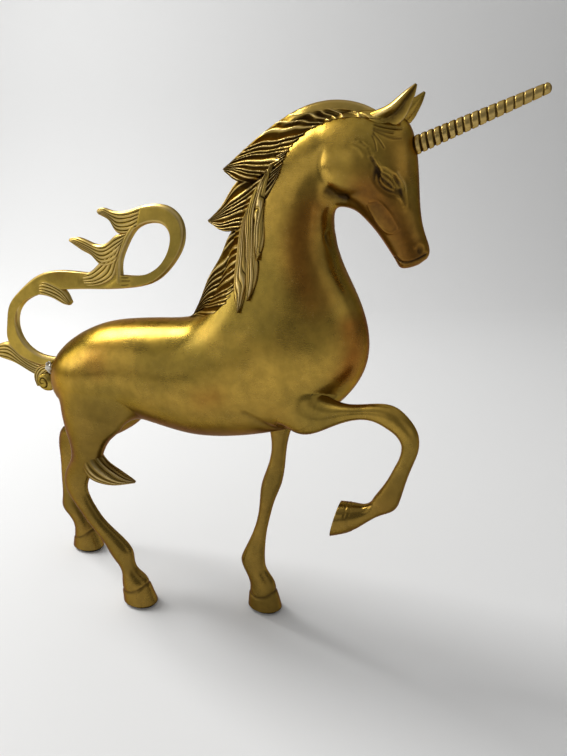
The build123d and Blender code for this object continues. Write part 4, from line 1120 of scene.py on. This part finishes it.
def build_figure():
    """All the pieces of the figure, each standing for its node of the model."""
    for side, columns, sign in (("right", np.arange(HALF_COLUMNS + 1), -1),
                                ("left", np.r_[np.arange(HALF_COLUMNS, 2 * HALF_COLUMNS), 0], 1)):
        verts, faces, recess, exact, painted_copper = body_half(columns)
        shell = make_piece(side + "_half_of_the_body", [(verts, faces, recess)], BODY_BRASS,
                           ("body_" + side + "_shell",))
        shell.data.normals_split_custom_set_from_vertices(exact.tolist())
        # Where copper is painted over the body as reflection and darkening
        mark(shell.data, "painted_copper", painted_copper)
        make_piece(side + "_ear", [tube_part(ear_surface(sign))], BODY_BRASS, ())
    for name, stations, line, sign, node, flare in LEGS:
        table = [(a, b, c, d, half, sign * (line + shift)) for a, b, c, d, half, shift in stations]
        parts = [tube_part(limb_surface(table, stations is RAISED_LEG, *flare))]
        if stations is RIGHT_HIND_LEG:
            parts.append(tube_part(tuft_surface()))
        make_piece(name, parts, BODY_BRASS, (node,))
    clumps = (clump_surface(MANE_TOP, 2.2, 9.5, 21, 0.0, (0.1, 0.5), 4.2, 200, 108),
              clump_surface(MANE_MIDDLE, 1.8, 9.0, 4, 2.0, (0.3, 0.6)),
              clump_surface(MANE_LOW, 1.8, 9.0, 12, 0.35, (0.25, 0.5), rows=136))
    strips = [ribbon_surface((TAIL_INNER, TAIL_OUTER), TAIL_HALF, 400, columns=30, bevel=1.9, dips=TAIL_DIPS,
                             cuts=SHORT_LINES)]
    strips += [ribbon_surface(rails, TAIL_HALF + over, rows, **relief)
               for rails, over, rows, relief in TAIL_STRIPS]
    strips.append(scroll_surface())
    locks = [lock_surface(*strip) for strip in LOCK_PARTS]
    make_piece("mane_clumps", map(tube_part, clumps), HAIR_BRASS, ("mane_crest",))
    make_piece("neck_lock", map(tube_part, locks), HAIR_BRASS, ("mane_lock",))
    make_piece("tail_solder", [tube_part(solder_surface())], SOLDER_TIN, ())
    make_piece("spiral_horn", [tube_part(horn_surface())], HORN_BRASS, ("horn",))
    make_piece("scrolled_tail", map(tube_part, strips), TAIL_BRASS, ("tail",))
    for finish, nodes in ((PIN_STEEL, ("horn_stud", "tail_stud", "leg_dowels")),
                          (PAD_FELT, ("right_hind_pad", "left_hind_pad", "left_fore_pad"))):
        for node in nodes:
            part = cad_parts[node]
            part.data.materials.clear()
            part.data.materials.append(finish)


# Soft lamps: name, place, point aimed at, watts and size
LAMPS = (("soft key lamp", (-1.1, 0.07, 1.3), (0, 0, 0.15), 25.0, (0.7, 0.7)),
         ("soft side lamp", (-1.2, -0.4, 0.5), (0, 0, 0.22), 3.2, (0.7, 0.5)),
         ("soft front panel", (-0.8, -1.4, 0.55), (0, 0, 0.2), 2.0, (1.2, 0.9)),
         ("soft fill panel", (1.3, -0.7, 0.5), (0, 0, 0.15), 1.2, (1.2, 0.9)),
         ("soft ceiling lamp", (0.0, 0.0, 2.05), (0, 0, 0), 12.5, (4.0, 4.0)))
# Camera of the photograph: place in outline millimetres, turn and look down; focal length in its pixels
CAMERA_SPOT, CAMERA_TURN, CAMERA_DOWN = (202.58, -270.2, 259.32), math.radians(22), math.radians(18.5)
FOCAL_PIXELS, PICTURE_HEIGHT, SENSOR = 568.0, 756.0, 36.0
FLOOR_NEAR, FLOOR_BEND, BEND_RADIUS, PAPER_TOP, FLOOR_HALF = -1.7, 0.9, 0.5, 1.9, 2.6


def studio_paper():
    """Matt studio paper, pale under the figure and painted greyer towards the front of the room: painted shade
    that darkens what the brass reflects.
    """
    finish, tree, shader = new_finish("studio paper")
    split = put(tree, "ShaderNodeSeparateXYZ", {"Vector": object_spot(tree)})
    # Painted shade: the paper turns from pale to dark grey towards the front of the room
    near = ramp(tree, split.outputs["Y"], -1.25, -0.4)
    colour = mix_colour(tree, near, (0.22, 0.22, 0.22, 1), (0.74, 0.74, 0.735, 1))
    feed(tree, shader, {"Base Color": colour, "Roughness": 0.85})
    return finish


def build_studio():
    """Pale floor that curves up behind the figure, five soft lamps, a grey room and the camera."""
    bend = np.linspace(0.1, np.pi / 2, 14)
    run = np.r_[np.linspace(FLOOR_NEAR, FLOOR_BEND, 12), FLOOR_BEND + BEND_RADIUS * np.sin(bend),
                np.full(8, FLOOR_BEND + BEND_RADIUS)][:, None]
    rise = np.r_[np.zeros(12), BEND_RADIUS - BEND_RADIUS * np.cos(bend),
                 np.linspace(0.6, PAPER_TOP, 8)][:, None]
    across = np.linspace(-FLOOR_HALF, FLOOR_HALF, 9)[None]
    c, s = math.cos(CAMERA_TURN), math.sin(CAMERA_TURN)
    spun = np.stack(np.broadcast_arrays(across * c - run * s, across * s + run * c, rise), -1)
    faces = quads(len(run), across.size, False)
    floor = stand("studio floor", smooth_mesh("studio floor", spun.reshape(-1, 3), faces, studio_paper()))
    for name, spot, aim, power, size in LAMPS:
        lamp = bpy.data.lights.new(name, "AREA")
        lamp.shape, lamp.size, lamp.size_y, lamp.energy = "RECTANGLE", size[0], size[1], power
        holder = stand(name, lamp)
        holder.location = spot
        away = np.subtract(spot, aim)
        tilt = math.acos(away[2] / np.linalg.norm(away))
        holder.rotation_euler = (tilt, 0.0, math.atan2(away[0], -away[1]))
    world = bpy.data.worlds.new("studio room")
    world.use_nodes = True
    feed(world.node_tree, world.node_tree.nodes["Background"], {"Color": (0.2, 0.2, 0.2, 1), "Strength": 1.0})
    scene = bpy.context.scene
    scene.world = world
    scene.view_settings.view_transform = "Standard"
    lens = bpy.data.cameras.new("camera")
    lens.sensor_width, lens.lens, lens.clip_start = SENSOR, FOCAL_PIXELS / PICTURE_HEIGHT * SENSOR, 0.01
    scene.camera = stand("camera", lens)
    scene.camera.location = place(CAMERA_SPOT)
    scene.camera.rotation_euler = (math.pi / 2 - CAMERA_DOWN, 0, CAMERA_TURN)


build_figure()
build_studio()
